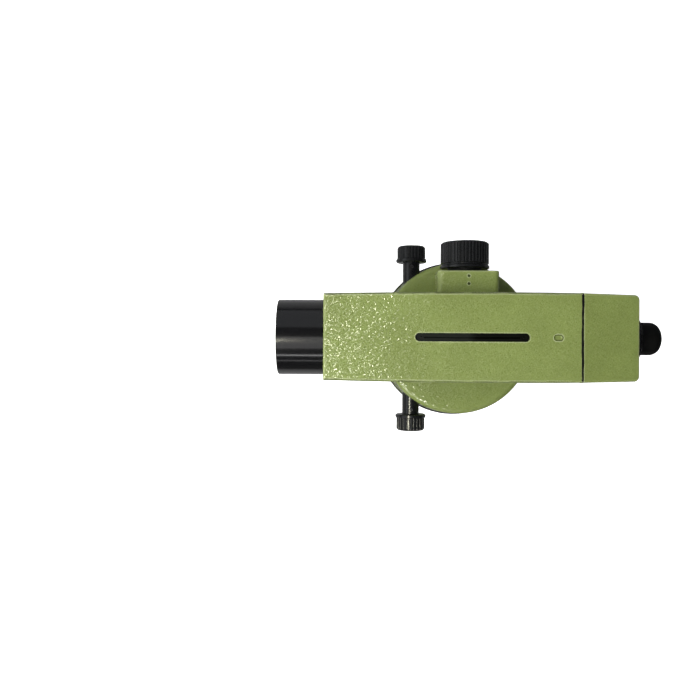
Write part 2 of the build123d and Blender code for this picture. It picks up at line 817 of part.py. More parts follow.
def focus_boss():
    """The boss of the focusing knob: square above, round below."""
    r = boss_half_width
    e = boss_edge
    outline = [ThreePointArc((-r, focus_height), (0, focus_height - r), (r, focus_height))]
    for side in (-1, 1):
        outline.append(Line((side * r, focus_height), (side * r, boss_top - e)))
        corner = (side * r, boss_top)
        outline.append(rounded_corner((side * r, boss_top - e), corner, (side * (r - e), boss_top)))
    outline.append(Line((e - r, boss_top), (r - e, boss_top)))
    start = inner_half_width + 0.5
    boss = Pos(focus_x, boss_face, 0) * extrude(Plane.XZ * make_face(outline), boss_face - start)
    return fillet(boss.faces().sort_by(Axis.Y)[-1].edges(), boss_rim)


def telescope_housing():
    body = housing_block(0, hood_top, housing_top)
    a = housing_front
    chin_top = hood_top + chin_height
    under = hood_top - beyond
    chin = [(a - beyond, under), (a + chin_length, under), (a + chin_length, hood_top)]
    chin += [(a, chin_top), (a - beyond, chin_top)]
    body -= plate_xz(chin, -half_width - beyond, half_width + beyond)
    top_rim = body.edges().filter_by(Plane.XY).group_by(Axis.Z)[-1].sort_by(Axis.X)[:-1]
    body = fillet(top_rim, top_edge)
    body += focus_boss()
    cavity = housing_block(housing_wall, floor_top, roof_bottom)
    chin_inside = (a + chin_length, half_width, chin_top + housing_wall)
    cavity -= block((a - beyond, -half_width, hood_top - beyond), chin_inside)
    for start, radius in web_places():
        web = block((start, -half_width, hood_top), (start + guide_web, half_width, housing_top))
        cavity -= web - rod_x(radius + fixed_gap, start - beyond, start + guide_web + beyond)
    body -= cavity
    body -= rod_x(barrel_seat_radius + fixed_gap, a - beyond, barrel_rear + 0.5)
    rack_way = block((cell_front, gear_inner - 0.5, focus_height - 5.0),
                     (focus_x + focus_travel + guide_margin, inner_half_width - slide_gap, rack_top + 0.5))
    body -= rack_way
    bush_bore = focus_bush_radius + fixed_gap
    body -= rod_y(bush_bore, inner_half_width - 2.0, boss_face + beyond, focus_x, focus_height)
    body -= obround(slot_length, slot_width, housing_top - slot_depth, housing_top + beyond, slot_middle)
    dimple = (housing_top - adjuster_depth, housing_top + beyond, adjuster_x)
    body -= obround(adjuster_length, adjuster_width, *dimple)
    for y in boss_screw_places():
        body -= rod_z(boss_screw_radius + fixed_gap, focus_height, boss_top + beyond, focus_x, y)
    half = window_size / 2
    window_low = (bubble_x - half, -half_width - beyond, window_bottom)
    body -= block(window_low, (bubble_x + half, beyond - inner_half_width, window_top))
    for x, y in hood_screw_places():
        body -= rod_z(hood_screw_radius + fixed_gap, hood_top - beyond, floor_top - 0.4, x, y)
    for side, height in cover_screw_places():
        body -= cover_screw_shape(side, height, fixed_gap)
    return body


def boss_screw_places():
    """The two headless screws stand in line on the top of the boss."""
    return [boss_face - inset for inset in boss_screw_insets]


def web_places():
    """The webs inside the housing that hold the barrel and the guide tube: front face and radius."""
    return [
        (barrel_rear - guide_web - 1, barrel_seat_radius),
        (guide_front + 2, guide_radius),
        (guide_rear - guide_web - 1, guide_radius),
    ]


def cover_screw_places():
    heights = (hood_top + cover_screw_inset, housing_top - cover_screw_inset)
    return [(side, height) for side in (-1, 1) for height in heights]


def cover_screw_shape(side, height, slack):
    """A countersunk screw along Y, at the seam; slack makes the hole that it sits in."""
    x = housing_seam - spigot_length / 2
    face = seam_half_width + slack
    shank = cover_screw_radius + slack
    tip = seam_half_width - cover_screw_length - slack
    head = cover_screw_head + slack
    screw = turned_y([(face, 0), (face, head), (seam_half_width - 1.5, shank), (tip, shank), (tip, 0)])
    if side < 0:
        screw = mirror(screw, Plane.XZ)
    return Pos(x, 0, height) * screw


def rear_cover_screws():
    return [cover_screw_shape(side, height, 0) for side, height in cover_screw_places()]


# Rear cover: a shell that tapers in plan and slopes down to the eyepiece


def cover_section(x, half, low, high):
    """An upright rectangle across the line of sight."""
    plane = Plane(origin=(x, 0, (low + high) / 2), x_dir=(0, 1, 0), z_dir=(1, 0, 0))
    return plane * Rectangle(2 * half, high - low)


def rear_cover():
    w = cover_wall
    rear_low = hood_top + cover_rise
    rear_high = housing_top - cover_slope
    rear_section = cover_section(cover_rear, cover_half_width, rear_low, rear_high)
    outer = loft([cover_section(cover_start, seam_half_width, hood_top, housing_top), rear_section])
    rear_edges = outer.edges().filter_by(lambda e: e.center().X > cover_rear - 1)
    upright = rear_edges.filter_by(lambda e: abs(e.center().Y) > cover_half_width / 2)
    outer = fillet(upright, cover_corner)
    long_edges = outer.edges().filter_by(lambda e: cover_start + 1 < e.center().X < cover_rear - 4)
    outer = fillet(long_edges.filter_by(lambda e: e.length > cover_length / 2), top_edge)
    inside = cover_section(cover_rear - w, cover_half_width - w, rear_low + w, rear_high - w)
    front = cover_section(cover_start, seam_half_width - w, hood_top + w, housing_top - w)
    inner = loft([front, inside])
    gap = 2 * fixed_gap
    side = seam_half_width - housing_wall - gap
    low = floor_top + gap
    high = roof_bottom - gap
    spigot_start = cover_start - spigot_length
    spigot = block((spigot_start, -side, low), (cover_start + 2, side, high))
    shell = outer - inner + spigot
    side -= spigot_wall
    corner = (cover_start + 3, side, high - spigot_wall)
    shell -= block((spigot_start - beyond, -side, low + spigot_wall), corner)
    sleeve_hole = eyepiece_sleeve_radius + fixed_gap
    shell -= rod_x(sleeve_hole, cover_rear - w - beyond, cover_rear + beyond)
    for screw_side, height in cover_screw_places():
        shell -= cover_screw_shape(screw_side, height, fixed_gap)
    return shell


def cover_gasket():
    """The black seal in the joint between the housing and its rear cover."""
    inset = 0.5
    inner = seam_half_width - housing_wall
    half = seam_half_width - inset
    a = housing_seam + fixed_gap / 2
    b = cover_start - fixed_gap / 2
    seal = block((a, -half, hood_top + inset), (b, half, housing_top - inset))
    return seal - block((a - beyond, -inner, floor_top), (b + beyond, inner, roof_bottom))


# Objective: a black barrel with a cemented pair held by a ring


def objective_tube():
    r = barrel_radius
    seat = barrel_seat_radius
    shoulder = housing_front - barrel_shoulder
    ledge = objective_back + fixed_gap
    shape = [(barrel_front + 0.5, r), (shoulder, r), (shoulder, seat), (barrel_rear, seat)]
    shape += [(barrel_rear, barrel_bore - 1.0), (ledge, objective_stop), (ledge, barrel_bore)]
    shape += [(barrel_front + 0.8, barrel_bore), (barrel_front, barrel_bore + 0.8), (barrel_front, r - 0.5)]
    return turned_x(shape)


def objective_lens():
    """A pair of lenses, cemented on a curved face."""
    radius = barrel_bore - fixed_gap
    crown = lens(radius, objective_front + objective_seat, objective_joint, front_sag, joint_sag)
    flint = lens(radius, objective_joint + fixed_gap, objective_back, -joint_sag, 0.0)
    return [crown, flint]


def objective_ring():
    outer = barrel_bore - fixed_gap
    a = objective_front - 0.2
    b = objective_front + objective_seat - slide_gap
    inner = objective_stop
    ring = turned_x([(a, inner), (a, outer), (b, outer), (b, inner + small_edge), (a + 0.6, inner)])
    for side in (-1, 1):
        ring -= Pos(a, side * (outer - 0.6), sight_height) * Box(1.4, 1.6, 1.6)
    return ring


# Focusing: guide tube, cell with its lens and rack, pinion with its knob


def guide_tube():
    tube = turned_x([(guide_front, guide_bore), (guide_front, guide_radius), (guide_rear, guide_radius),
                     (guide_rear, guide_bore)])
    low = (cell_front - beyond, guide_bore / 3, rack_line - gear_module - slide_gap)
    return tube - block(low, (guide_rear + beyond, guide_radius + beyond, rack_top + slide_gap))


def focus_cell():
    r = guide_bore - run_gap
    a = cell_front
    b = cell_front + cell_length
    wall = r - cell_wall
    seat = a + focusing_lens_seat
    ledge = seat + focusing_lens_thickness
    ledge_end = ledge + 1.8
    edge = 1.0
    shape = [(a, r - edge), (a + edge, r), (b - edge, r), (b, r - edge), (b, wall - 0.5)]
    shape += [(ledge_end, wall - 0.5), (ledge_end, wall - 2.5), (ledge, wall - 2.5), (ledge, wall), (a, wall)]
    lug_low = (a + 2, wall, rack_line + gear_module)
    return turned_x(shape) + block(lug_low, (b - 2, gear_inner - fixed_gap, rack_top))


def focusing_lens():
    radius = guide_bore - run_gap - cell_wall - fixed_gap
    seat = cell_front + focusing_lens_seat
    return lens(radius, seat, seat + focusing_lens_thickness - fixed_gap, -1.0, -1.2)


def focus_rack():
    """The rack beside the lens cell, with its teeth facing down to the pinion."""
    pitch = math.pi * gear_module
    at_root = 0.84 * gear_module
    at_tip = 0.28 * gear_module
    root = rack_line + rack_thickness
    tip = rack_line - 0.8 * gear_module
    a = cell_front + 2
    b = focus_x + 2.5 * pitch
    count = int((b - a) / pitch)
    first = b - count * pitch
    outline = [(a, rack_top), (a, root)]
    for i in range(count):
        x = first + i * pitch
        outline += [(x - at_root, root), (x - at_tip, tip), (x + at_tip, tip), (x + at_root, root)]
    end = first + (count - 0.3) * pitch
    outline += [(end, root), (end, rack_top)]
    return plate_xz(outline, gear_inner, gear_outer)


def focus_pinion():
    """The pinion and its shaft; a tooth points straight up into a gap of the rack."""
    m = gear_module
    pitch_radius = m * pinion_teeth / 2
    root = pitch_radius - 1.24 * m
    tip = pitch_radius + 0.8 * m
    flank = [(root - 0.6 * m, 0.92 * m), (pitch_radius, 0.54 * m), (tip, 0.26 * m)]
    outline = [(x, -half) for x, half in flank] + [(x, half) for x, half in reversed(flank)]
    tooth = Pos(0, 0, -gear_width / 2) * extrude(make_face(Polyline(*outline, close=True)), gear_width)
    gear = Cylinder(root, gear_width)
    gear += [Rot(Z=360 / pinion_teeth * i) * tooth for i in range(pinion_teeth)]
    gear = Rot(Y=90) * (Rot(X=90) * gear)
    shaft_start = gear_outer + 0.2
    shaft = rod_y(pinion_shaft_radius, shaft_start, focus_knob_inner + pinion_shaft_in_knob)
    shaft += rod_y(root, gear_outer - 1, shaft_start + 1)
    return Pos(focus_x, 0, focus_height) * (Pos(0, gear_inner + gear_width / 2, 0) * gear + shaft)


def focus_bush():
    """The bearing of the pinion, with a dark flange between the boss and the knob."""
    bore = pinion_shaft_radius + run_gap
    start = inner_half_width - 1.5
    face = boss_face + fixed_gap
    end = focus_knob_inner - slide_gap
    shape = [(start, bore), (start, focus_bush_radius), (face, focus_bush_radius)]
    shape += [(face, focus_bush_flange), (end, focus_bush_flange), (end, bore)]
    return turned_y(shape, focus_x, focus_height)


def focus_bush_screws():
    """Two headless screws in the boss, which lock the bush."""
    low = focus_height + focus_bush_radius + fixed_gap
    return [rod_z(boss_screw_radius, low, boss_top - 0.6, focus_x, y) for y in boss_screw_places()]


def focus_knob():
    a = focus_knob_inner
    b = focus_knob_outer
    r = focus_knob_radius
    collar = r + 0.4
    grip_start = a + 4.2
    shaft = pinion_shaft_radius + fixed_gap
    shaft_end = a + pinion_shaft_in_knob + fixed_gap
    screw = knob_screw_radius + fixed_gap
    recess = b - knob_recess_depth
    shape = [(a, shaft), (a, r - 1.2), (a + 0.8, collar), (a + 2.2, collar), (a + 3.0, r - 0.5)]
    shape += [(a + 3.6, r - 0.5), (grip_start, r), (b - 1.0, r), (b, r - 1.2), (b, knob_recess_radius)]
    shape += [(recess, knob_recess_radius - 0.6), (recess, screw), (shaft_end, screw), (shaft_end, shaft)]
    knob = turned_y(shape)
    length = b - grip_start + beyond
    place = Pos(0, grip_start + length / 2, 0) * Rot(X=90)
    knob -= [place * cutter for cutter in grooves(focus_knob_ribs, r + 0.3, focus_knob_groove, length)]
    return Pos(focus_x, 0, focus_height) * knob


def focus_knob_screw():
    """The screw and cap that hold the knob on the pinion shaft."""
    start = focus_knob_inner + pinion_shaft_in_knob + 2 * fixed_gap
    face = focus_knob_outer - knob_recess_depth + fixed_gap
    crown = face + knob_recess_depth
    head = knob_recess_radius - 1.0
    shape = [(start, 0), (start, knob_screw_radius), (face, knob_screw_radius), (face, head)]
    shape += [(face + 0.7, head), (crown, head - small_edge), (crown, 0)]
    return turned_y(shape, focus_x, focus_height)


# Compensator: fixed prisms on a frame, and a third prism that hangs from wires


def compensator_frame():
    a = frame_front
    b = frame_rear
    h = frame_half_width
    x = pendulum_x
    low = floor_top + fixed_gap
    shoulder = sight_height - 10.0
    bridge = bridge_half_length
    frame = block((a, -h, low), (b, h, floor_top + frame_foot))
    cheek = [(a, low), (b, low), (b, shoulder), (x + bridge, bridge_top), (x - bridge, bridge_top)]
    cheek.append((a, shoulder))
    rib = 4.0
    sill = floor_top + 6.5
    arch = bridge_top - 10.0
    window = [(a + rib, sill), (b - rib, sill), (b - rib, shoulder + 2), (x + bridge - 3, arch),
              (x - bridge + 3, arch), (a + rib, shoulder + 2)]
    for side in (-1, 1):
        y0, y1 = sorted((side * h, side * (h - frame_plate)))
        frame += plate_xz(cheek, y0, y1) - plate_xz(window, y0 - beyond, y1 + beyond)
    frame += block((x - bridge, -h, bridge_top - bridge_height), (x + bridge, h, bridge_top))
    foot = prism_spacing
    spread = foot + prism_leg
    stalk = 4.0
    neck = fixed_prism_high + 5.0
    right = [(x + foot, fixed_prism_low), (x + spread, fixed_prism_high), (x + stalk, neck),
             (x + stalk, bridge_top - 1)]
    left = [(2 * x - place, height) for place, height in reversed(right)]
    return frame + plate_xz(right + left, -prism_half_width, prism_half_width)


def fixed_prisms():
    """Two right-angled prisms, cemented under the sloping faces of the frame."""
    half = prism_half_width - 0.2
    prisms = []
    for side in (-1, 1):
        near = pendulum_x + side * (prism_spacing + 1.5 * fixed_gap)
        far = near + side * prism_leg
        corners = [(near, fixed_prism_low), (far, fixed_prism_low), (far, fixed_prism_high)]
        prisms.append(plate_xz(corners, -half, half))
    return prisms


hanging_prism_half = prism_leg + prism_spacing
hanging_prism_foot = hanging_prism_half - hanging_prism_depth


def pendulum_prism():
    x = pendulum_x
    inner = pendulum_inner - fixed_gap
    corners = [(x - hanging_prism_half, hanging_prism_high), (x - hanging_prism_foot, hanging_prism_low)]
    corners += [(x + hanging_prism_foot, hanging_prism_low), (x + hanging_prism_half, hanging_prism_high)]
    return plate_xz(corners, -inner, inner)


def pendulum():
    """The cradle of the hanging prism: two arms for the wires, a bar, and the disc of the damper."""
    x = pendulum_x
    high = hanging_prism_high
    right = [(x + 5, bar_top - 3), (x + hanging_prism_half + 1, high + 1), (x + 6, high + 5)]
    right.append((x + 5, pendulum_top))
    left = [(2 * x - place, height) for place, height in reversed(right)]
    bar_side = pendulum_inner + 0.5
    cradle = block((x - 4, -bar_side, damper_height - 1.6), (x + 4, bar_side, bar_top))
    for side in (-1, 1):
        y0, y1 = sorted((side * pendulum_inner, side * pendulum_outer))
        cradle += plate_xz(right + left, y0, y1)
    disc_start = frame_rear + 4.0
    cradle += rod_x(1.0, x + 3, disc_start + 0.5, 0, damper_height)
    return cradle + rod_x(damper_radius, disc_start, disc_start + damper_disc, 0, damper_height)


def suspension_wires():
    """Four wires between the bridge and the arms of the pendulum."""
    y = pendulum_inner + pendulum_plate / 2
    high = bridge_top - bridge_height - fixed_gap
    wires = []
    for side_y in (-1, 1):
        for side_x in (-1, 1):
            top = Vector(pendulum_x + side_x * wire_spread_top, side_y * y, high)
            foot = Vector(pendulum_x + side_x * wire_spread_foot, side_y * y, pendulum_top + slide_gap)
            run = top - foot
            plane = Plane(origin=foot, z_dir=run)
            wires.append(extrude(plane * Circle(wire_radius), run.length))
    return wires


def damper_cylinder():
    """The cup that the disc of the pendulum moves in; the air between them stops its swing."""
    a = frame_rear + fixed_gap
    b = a + damper_length
    start = a + 1.5
    outer = damper_bore + damper_wall
    cup = rod_x(outer, start, b, 0, damper_height)
    foot = block((start, -outer, floor_top + fixed_gap), (b, outer, damper_height - 3))
    return (cup + foot) - rod_x(damper_bore, a, b - damper_wall, 0, damper_height)


# Reticle and eyepiece


def eyepiece_mount():
    """The black flange on the rear cover; its sleeve reaches inside to the reticle."""
    sleeve = eyepiece_sleeve_radius
    neck = eyepiece_neck_radius
    flange = eyepiece_flange_radius
    a = cover_rear + fixed_gap
    b = a + eyepiece_flange_thickness
    start = reticle_x - 5
    shape = [(start, eyepiece_bore), (start, sleeve), (a, sleeve), (a, flange), (b - 0.5, flange)]
    shape += [(b, flange - 0.5), (b, neck), (eyepiece_neck_end, neck), (eyepiece_neck_end, eyepiece_bore)]
    body = turned_x(shape)
    for angle in reticle_screw_angles:
        hole = rod_z(reticle_screw_radius + fixed_gap, eyepiece_bore / 2, sleeve + 5)
        body -= Pos(reticle_x, 0, sight_height) * Rot(X=angle) * hole
    return body


reticle_screw_angles = (0, 90, 180, 270)


def reticle_cell():
    a = reticle_x - reticle_cell_half
    b = reticle_x + reticle_cell_half
    inner = reticle_radius - 1.2
    seat = reticle_radius + fixed_gap
    shape = [(a, inner), (a, reticle_cell_radius), (b, reticle_cell_radius), (b, seat)]
    return turned_x(shape + [(reticle_x, seat), (reticle_x, inner)])


def reticle():
    """The glass disc with the cross lines."""
    return rod_x(reticle_radius, reticle_x + fixed_gap, reticle_x + reticle_thickness)


def reticle_screws():
    seat = eyepiece_sleeve_radius + 0.1
    screws = []
    for angle in reticle_screw_angles:
        screw = rod_z(reticle_screw_radius, reticle_cell_radius + fixed_gap, seat)
        screw += rod_z(reticle_screw_head, seat, seat + 1.5)
        screws.append(Pos(reticle_x, 0, sight_height) * Rot(X=angle) * screw)
    return screws


def dioptre_ring():
    """The ribbed ring that is turned to focus the reticle for the user's eye."""
    r = dioptre_ring_radius
    a = dioptre_ring_start
    b = dioptre_ring_end
    neck = eyepiece_neck_radius + run_gap
    neck_stop = eyepiece_neck_end + slide_gap
    bore = eyepiece_barrel_radius + run_gap
    slope = b - 2.2
    spigot_end = b + 4.0
    shape = [(a, neck), (a, r - 0.6), (a + 0.6, r), (slope, r), (b, eyecup_radius + 0.2), (b, eyecup_spigot)]
    shape += [(spigot_end, eyecup_spigot), (spigot_end, bore), (neck_stop, bore), (neck_stop, neck)]
    length = slope - a - 1.6
    place = Pos(a + 0.8 + length / 2, 0, sight_height) * Rot(Y=90)
    grip = grooves(dioptre_ribs, r + 0.35, dioptre_groove, length)
    return turned_x(shape) - [place * cutter for cutter in grip]


def eyecup():
    """The rubber cup over the end of the ring, with a peephole in its rounded end."""
    r = eyecup_radius
    a = dioptre_ring_end + fixed_gap
    b = eyepiece_end
    e = eyecup_rounding
    spigot = eyecup_spigot + fixed_gap
    hole = peephole_radius
    seat = a + 4.2
    inside = [(b, hole), (b - 2.6, hole + 0.3), (b - 4.2, spigot - 0.6), (seat, spigot - 0.3), (seat, spigot)]
    inside.append((a, spigot))
    outline = [Line((a, spigot), (a, r)), Line((a, r), (b - e, r)), Line((b, r - e), (b, hole))]
    outline.append(rounded_corner((b - e, r), (b, r), (b, r - e)))
    outline += [Line(p, q) for p, q in zip(inside, inside[1:])]
    return Pos(0, 0, sight_height) * revolve(make_face(outline), Axis.X)


def eyepiece_barrel():
    """The lens barrel, which slides without turning."""
    r = eyepiece_barrel_radius
    a = reticle_x + lens_barrel_start
    b = lens_barrel_end
    wall = lens_barrel_wall
    lip = r - 3.1
    return turned_x([(a, r - wall), (a, r), (b, r), (b, lip), (b - wall, lip), (b - wall, r - wall)])


def eyepiece_lenses():
    """The field lens and the eye lens, fixed in the barrel."""
    radius = eyepiece_barrel_radius - lens_barrel_wall - fixed_gap
    front = reticle_x + lens_barrel_start + 1.0
    back = lens_barrel_end - lens_barrel_wall - fixed_gap
    return [lens(radius, front, front + 3.0, 1.6, 0.0), lens(radius, back - 3.2, back, 1.4, 0.0)]


# Sighting channel and adjuster on the roof


def sight_bar():
    """The black strip in the channel, with a groove along it and a bead at each end."""
    low = housing_top - slot_depth + fixed_gap
    high = low + sight_bar_height
    gap = 2 * fixed_gap
    bar = obround(slot_length - gap, slot_width - gap, low, high, slot_middle)
    groove = Box(slot_length - 2 * sight_groove_inset, sight_groove, sight_groove)
    bar -= Pos(slot_middle, 0, high) * Rot(X=45) * groove
    foot = low + 0.5
    tip = high + 0.9
    for x in (slot_start + bead_inset, slot_end - bead_inset):
        bar += turned_z([(0, foot), (bead_radius, foot), (bead_radius - 0.4, tip), (0, tip)], x, 0)
    return bar


def adjuster_plug():
    """The painted plug over the adjusting screw."""
    low = housing_top - adjuster_depth + fixed_gap
    gap = 2 * fixed_gap
    return obround(adjuster_length - gap, adjuster_width - gap, low, low + adjuster_plug_height, adjuster_x)


# Circular bubble: a vial in its cup, seen through a prism in the side window


def bubble_cup():
    low = floor_top + fixed_gap
    high = low + bubble_cup_height
    floor = low + bubble_cup_floor
    r = bubble_cup_radius
    inner = bubble_radius + fixed_gap
    shape = [(0, low), (r, low), (r, high), (inner, high), (inner, floor), (0, floor)]
    return turned_z(shape, bubble_x, bubble_y)


def bubble_vial():
    """The glass vial, with a shallow dome on top."""
    low = floor_top + bubble_cup_floor + 2 * fixed_gap
    high = low + bubble_cup_height - 1.6
    r = bubble_radius
    shape = [(0, low), (r, low), (r, high), (r - 1.4, high + 0.5), (0, high + 0.8)]
    return turned_z(shape, bubble_x, bubble_y)


def bubble_prism():
    """The prism that turns the view of the vial out to the side."""
    low = window_bottom + bezel_wall
    high = window_top - bezel_wall
    near = -inner_half_width + fixed_gap
    half = window_size / 2 - bezel_wall
    outline = Plane.YZ * make_face(Polyline((near, low), (near + high - low, low), (near, high), close=True))
    return Pos(bubble_x - half, 0, 0) * extrude(outline, 2 * half)


def bubble_bezel():
    """The black frame of the window."""
    half = window_size / 2 - fixed_gap
    outside = -half_width - bezel_proud
    inside = -inner_half_width
    low = window_bottom + fixed_gap
    high = window_top - fixed_gap
    frame = block((bubble_x - half, outside, low), (bubble_x + half, inside, high))
    frame = fillet(frame.faces().sort_by(Axis.Y)[0].edges(), bezel_proud * 2 / 3)
    inner = half - bezel_wall
    corner = (bubble_x - inner, outside - beyond, low + bezel_wall)
    return frame - block(corner, (bubble_x + inner, inside + beyond, high - bezel_wall))


pieces = {
    "base_plate": base_plate(),
    "foot_ball_front": foot_ball("front"),
    "foot_balls_rear": [foot_ball("left"), foot_ball("right")],
    "spring_plate": spring_plate(),
    "spring_plate_screws": spring_screws(),
    "tribrach": tribrach(),
    "foot_bushes": foot_bushes(),
    "spindle": spindle(),
    "spindle_screw": spindle_screw(),
    "horizontal_circle": horizontal_circle(),
    "worm_wheel": worm_wheel(),
    "clutch_spring": clutch_spring(),
    "wheel_ring": wheel_ring(),
    "drive_shaft": drive_shaft(),
    "worm_bracket": worm_bracket(),
    "drive_knob_right": drive_knob(1),
    "drive_knob_left": drive_knob(-1),
    "drive_grub_screws": drive_grub_screws(),
    "hood": hood(),
    "hood_screws": hood_screws(),
    "bearing_sleeve": bearing_sleeve(),
    "telescope_housing": telescope_housing(),
    "rear_cover": rear_cover(),
    "rear_cover_screws": rear_cover_screws(),
    "cover_gasket": cover_gasket(),
    "objective_tube": objective_tube(),
    "objective_lens": objective_lens(),
    "objective_ring": objective_ring(),
    "guide_tube": guide_tube(),
    "focus_cell": focus_cell(),
    "focusing_lens": focusing_lens(),
    "focus_rack": focus_rack(),
    "focus_pinion": focus_pinion(),
    "focus_bush": focus_bush(),
    "focus_bush_screws": focus_bush_screws(),
    "focus_knob": focus_knob(),
    "focus_knob_screw": focus_knob_screw(),
    "compensator_frame": compensator_frame(),
    "fixed_prisms": fixed_prisms(),
    "pendulum_prism": pendulum_prism(),
    "pendulum": pendulum(),
    "suspension_wires": suspension_wires(),
    "damper_cylinder": damper_cylinder(),
    "eyepiece_mount": eyepiece_mount(),
    "reticle_cell": reticle_cell(),
    "reticle": reticle(),
    "reticle_screws": reticle_screws(),
    "dioptre_ring": dioptre_ring(),
    "eyecup": eyecup(),
    "eyepiece_barrel": eyepiece_barrel(),
    "eyepiece_lenses": eyepiece_lenses(),
    "sight_bar": sight_bar(),
    "adjuster_plug": adjuster_plug(),
    "bubble_cup": bubble_cup(),
    "bubble_vial": bubble_vial(),
    "bubble_prism": bubble_prism(),
    "bubble_bezel": bubble_bezel(),
}
for name in foot_angles:
    pieces[f"foot_screw_{name}"] = foot_screw(name)

os.makedirs("parts", exist_ok=True)
for name, piece in pieces.items():
    if isinstance(piece, list):
        piece = Compound(children=piece)
    export_step(piece, f"parts/{name}.step")
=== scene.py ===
"""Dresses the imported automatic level: a surveying telescope on a levelling base, on a pale table.

Sections follow the instrument as it is put together, from the ground up. Lengths are in metres,
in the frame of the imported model.
"""

import math

import bmesh
import bpy
from mathutils import Matrix, Vector


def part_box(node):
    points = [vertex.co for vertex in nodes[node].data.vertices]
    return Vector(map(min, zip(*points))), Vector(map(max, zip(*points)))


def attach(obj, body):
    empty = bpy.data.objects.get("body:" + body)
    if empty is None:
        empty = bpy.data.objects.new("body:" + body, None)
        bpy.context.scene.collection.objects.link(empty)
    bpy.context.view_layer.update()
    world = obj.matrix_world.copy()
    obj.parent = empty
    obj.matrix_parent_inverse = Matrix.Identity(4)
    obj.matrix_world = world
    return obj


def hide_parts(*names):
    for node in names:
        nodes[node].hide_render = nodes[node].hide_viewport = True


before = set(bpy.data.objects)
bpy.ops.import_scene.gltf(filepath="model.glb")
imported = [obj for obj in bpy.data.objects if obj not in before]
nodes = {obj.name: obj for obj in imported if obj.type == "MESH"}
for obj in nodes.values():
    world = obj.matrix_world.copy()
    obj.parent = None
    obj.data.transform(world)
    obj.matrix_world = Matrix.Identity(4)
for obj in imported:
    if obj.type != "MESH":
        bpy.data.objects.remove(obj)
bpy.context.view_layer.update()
mm = 0.001

# Base plate: a die-cast aluminium disc, turned and sprayed in a fine wrinkle green.
# The tripod screw runs up into the hole in its middle.


class Field:
    """A value that changes over a surface: one output of a finish's nodes."""

    def __init__(self, finish, socket):
        self.finish = finish
        self.socket = socket

    def maths(self, operation, first, second=0.0):
        return self.finish.node("ShaderNodeMath", {"operation": operation}, {0: first, 1: second})

    def __add__(self, other):
        return self.maths("ADD", self, other)

    __radd__ = __add__

    def __mul__(self, other):
        return self.maths("MULTIPLY", self, other)

    __rmul__ = __mul__

    def __sub__(self, other):
        return self.maths("SUBTRACT", self, other)

    def __rsub__(self, other):
        return self.maths("SUBTRACT", other, self)

    def __truediv__(self, other):
        return self.maths("DIVIDE", self, other)

    def __pow__(self, other):
        return self.maths("POWER", self, other)

    def steps(self, low, high):
        """0 below low, 1 above high, and a smooth rise between them."""
        settings = {"interpolation_type": "SMOOTHSTEP"}
        values = {"Value": self, "From Min": low, "From Max": high}
        return self.finish.node("ShaderNodeMapRange", settings, values)


class Finish:
    """The finish of a piece, as a material whose nodes are written as expressions."""

    def __init__(self, name, colour, roughness, metallic=0.0, **constants):
        self.material = bpy.data.materials.new(name)
        self.material.use_nodes = True
        self.tree = self.material.node_tree
        self.shader = self.tree.nodes["Principled BSDF"]
        self.place = self.node("ShaderNodeTexCoord", output="Object")
        self.feed("Base Color", colour)
        self.feed("Roughness", roughness)
        self.feed("Metallic", metallic)
        for socket, value in constants.items():
            self.feed(socket.replace("_", " "), value)

    def node(self, kind, settings=None, values=None, output=0):
        """Any node: its settings first, then its sockets by name, or by position."""
        node = self.tree.nodes.new(kind)
        for key, value in (settings or {}).items():
            setattr(node, key, value)
        for key, value in (values or {}).items():
            if isinstance(key, int):
                socket = node.inputs[key]
            else:
                socket = next(s for s in node.inputs if s.enabled and s.name == key)
            self.join(socket, value)
        if isinstance(output, int):
            return Field(self, node.outputs[output])
        return Field(self, next(s for s in node.outputs if s.enabled and s.name == output))

    def vector(self, operation, *values, output=0):
        """Vector maths on its inputs in order."""
        settings = {"operation": operation}
        return self.node("ShaderNodeVectorMath", settings, dict(enumerate(values)), output)

    def join(self, socket, value):
        if isinstance(value, Field):
            self.tree.links.new(value.socket, socket)
        elif isinstance(value, (tuple, list)) and socket.type == "RGBA":
            socket.default_value = (*value[:3], 1.0)
        else:
            socket.default_value = value

    def feed(self, name, value):
        self.join(self.shader.inputs[name], value)

    def noise(self, per_mm, detail=2.0, roughness=0.5, stretch=None):
        """Cloudy noise with so many lumps to a millimetre."""
        place = self.vector("MULTIPLY", self.place, stretch) if stretch else self.place
        values = {"Vector": place, "Scale": per_mm / mm, "Detail": detail, "Roughness": roughness}
        return self.node("ShaderNodeTexNoise", {}, values, "Fac")

    def blend(self, factor, first, second):
        """A colour between two others."""
        values = {"Factor": factor, "A": first, "B": second}
        return self.node("ShaderNodeMix", {"data_type": "RGBA"}, values, "Result")

    def bump(self, height, depth, strength=1.0):
        """Raises the surface by a height between 0 and 1, times the depth."""
        values = {"Height": height, "Distance": depth, "Strength": strength}
        self.feed("Normal", self.node("ShaderNodeBump", {}, values))

    def axis(self, letter):
        """One coordinate of the place on the piece, in metres."""
        return self.node("ShaderNodeSeparateXYZ", {}, {0: self.place}, letter)


def dress(finish, *names):
    """Gives CAD nodes a finish in place of their plain colour."""
    for name in names:
        mesh = nodes[name].data
        mesh.materials.clear()
        mesh.materials.append(finish.material)


paint_colour = (0.235, 0.292, 0.082)
paint_pale = (0.40, 0.46, 0.20)
edge_highlight_colour = (0.62, 0.67, 0.38)
paint_dark = (0.212, 0.262, 0.073)
wrinkles_per_mm = 2.0
wrinkle_tilt = 0.38


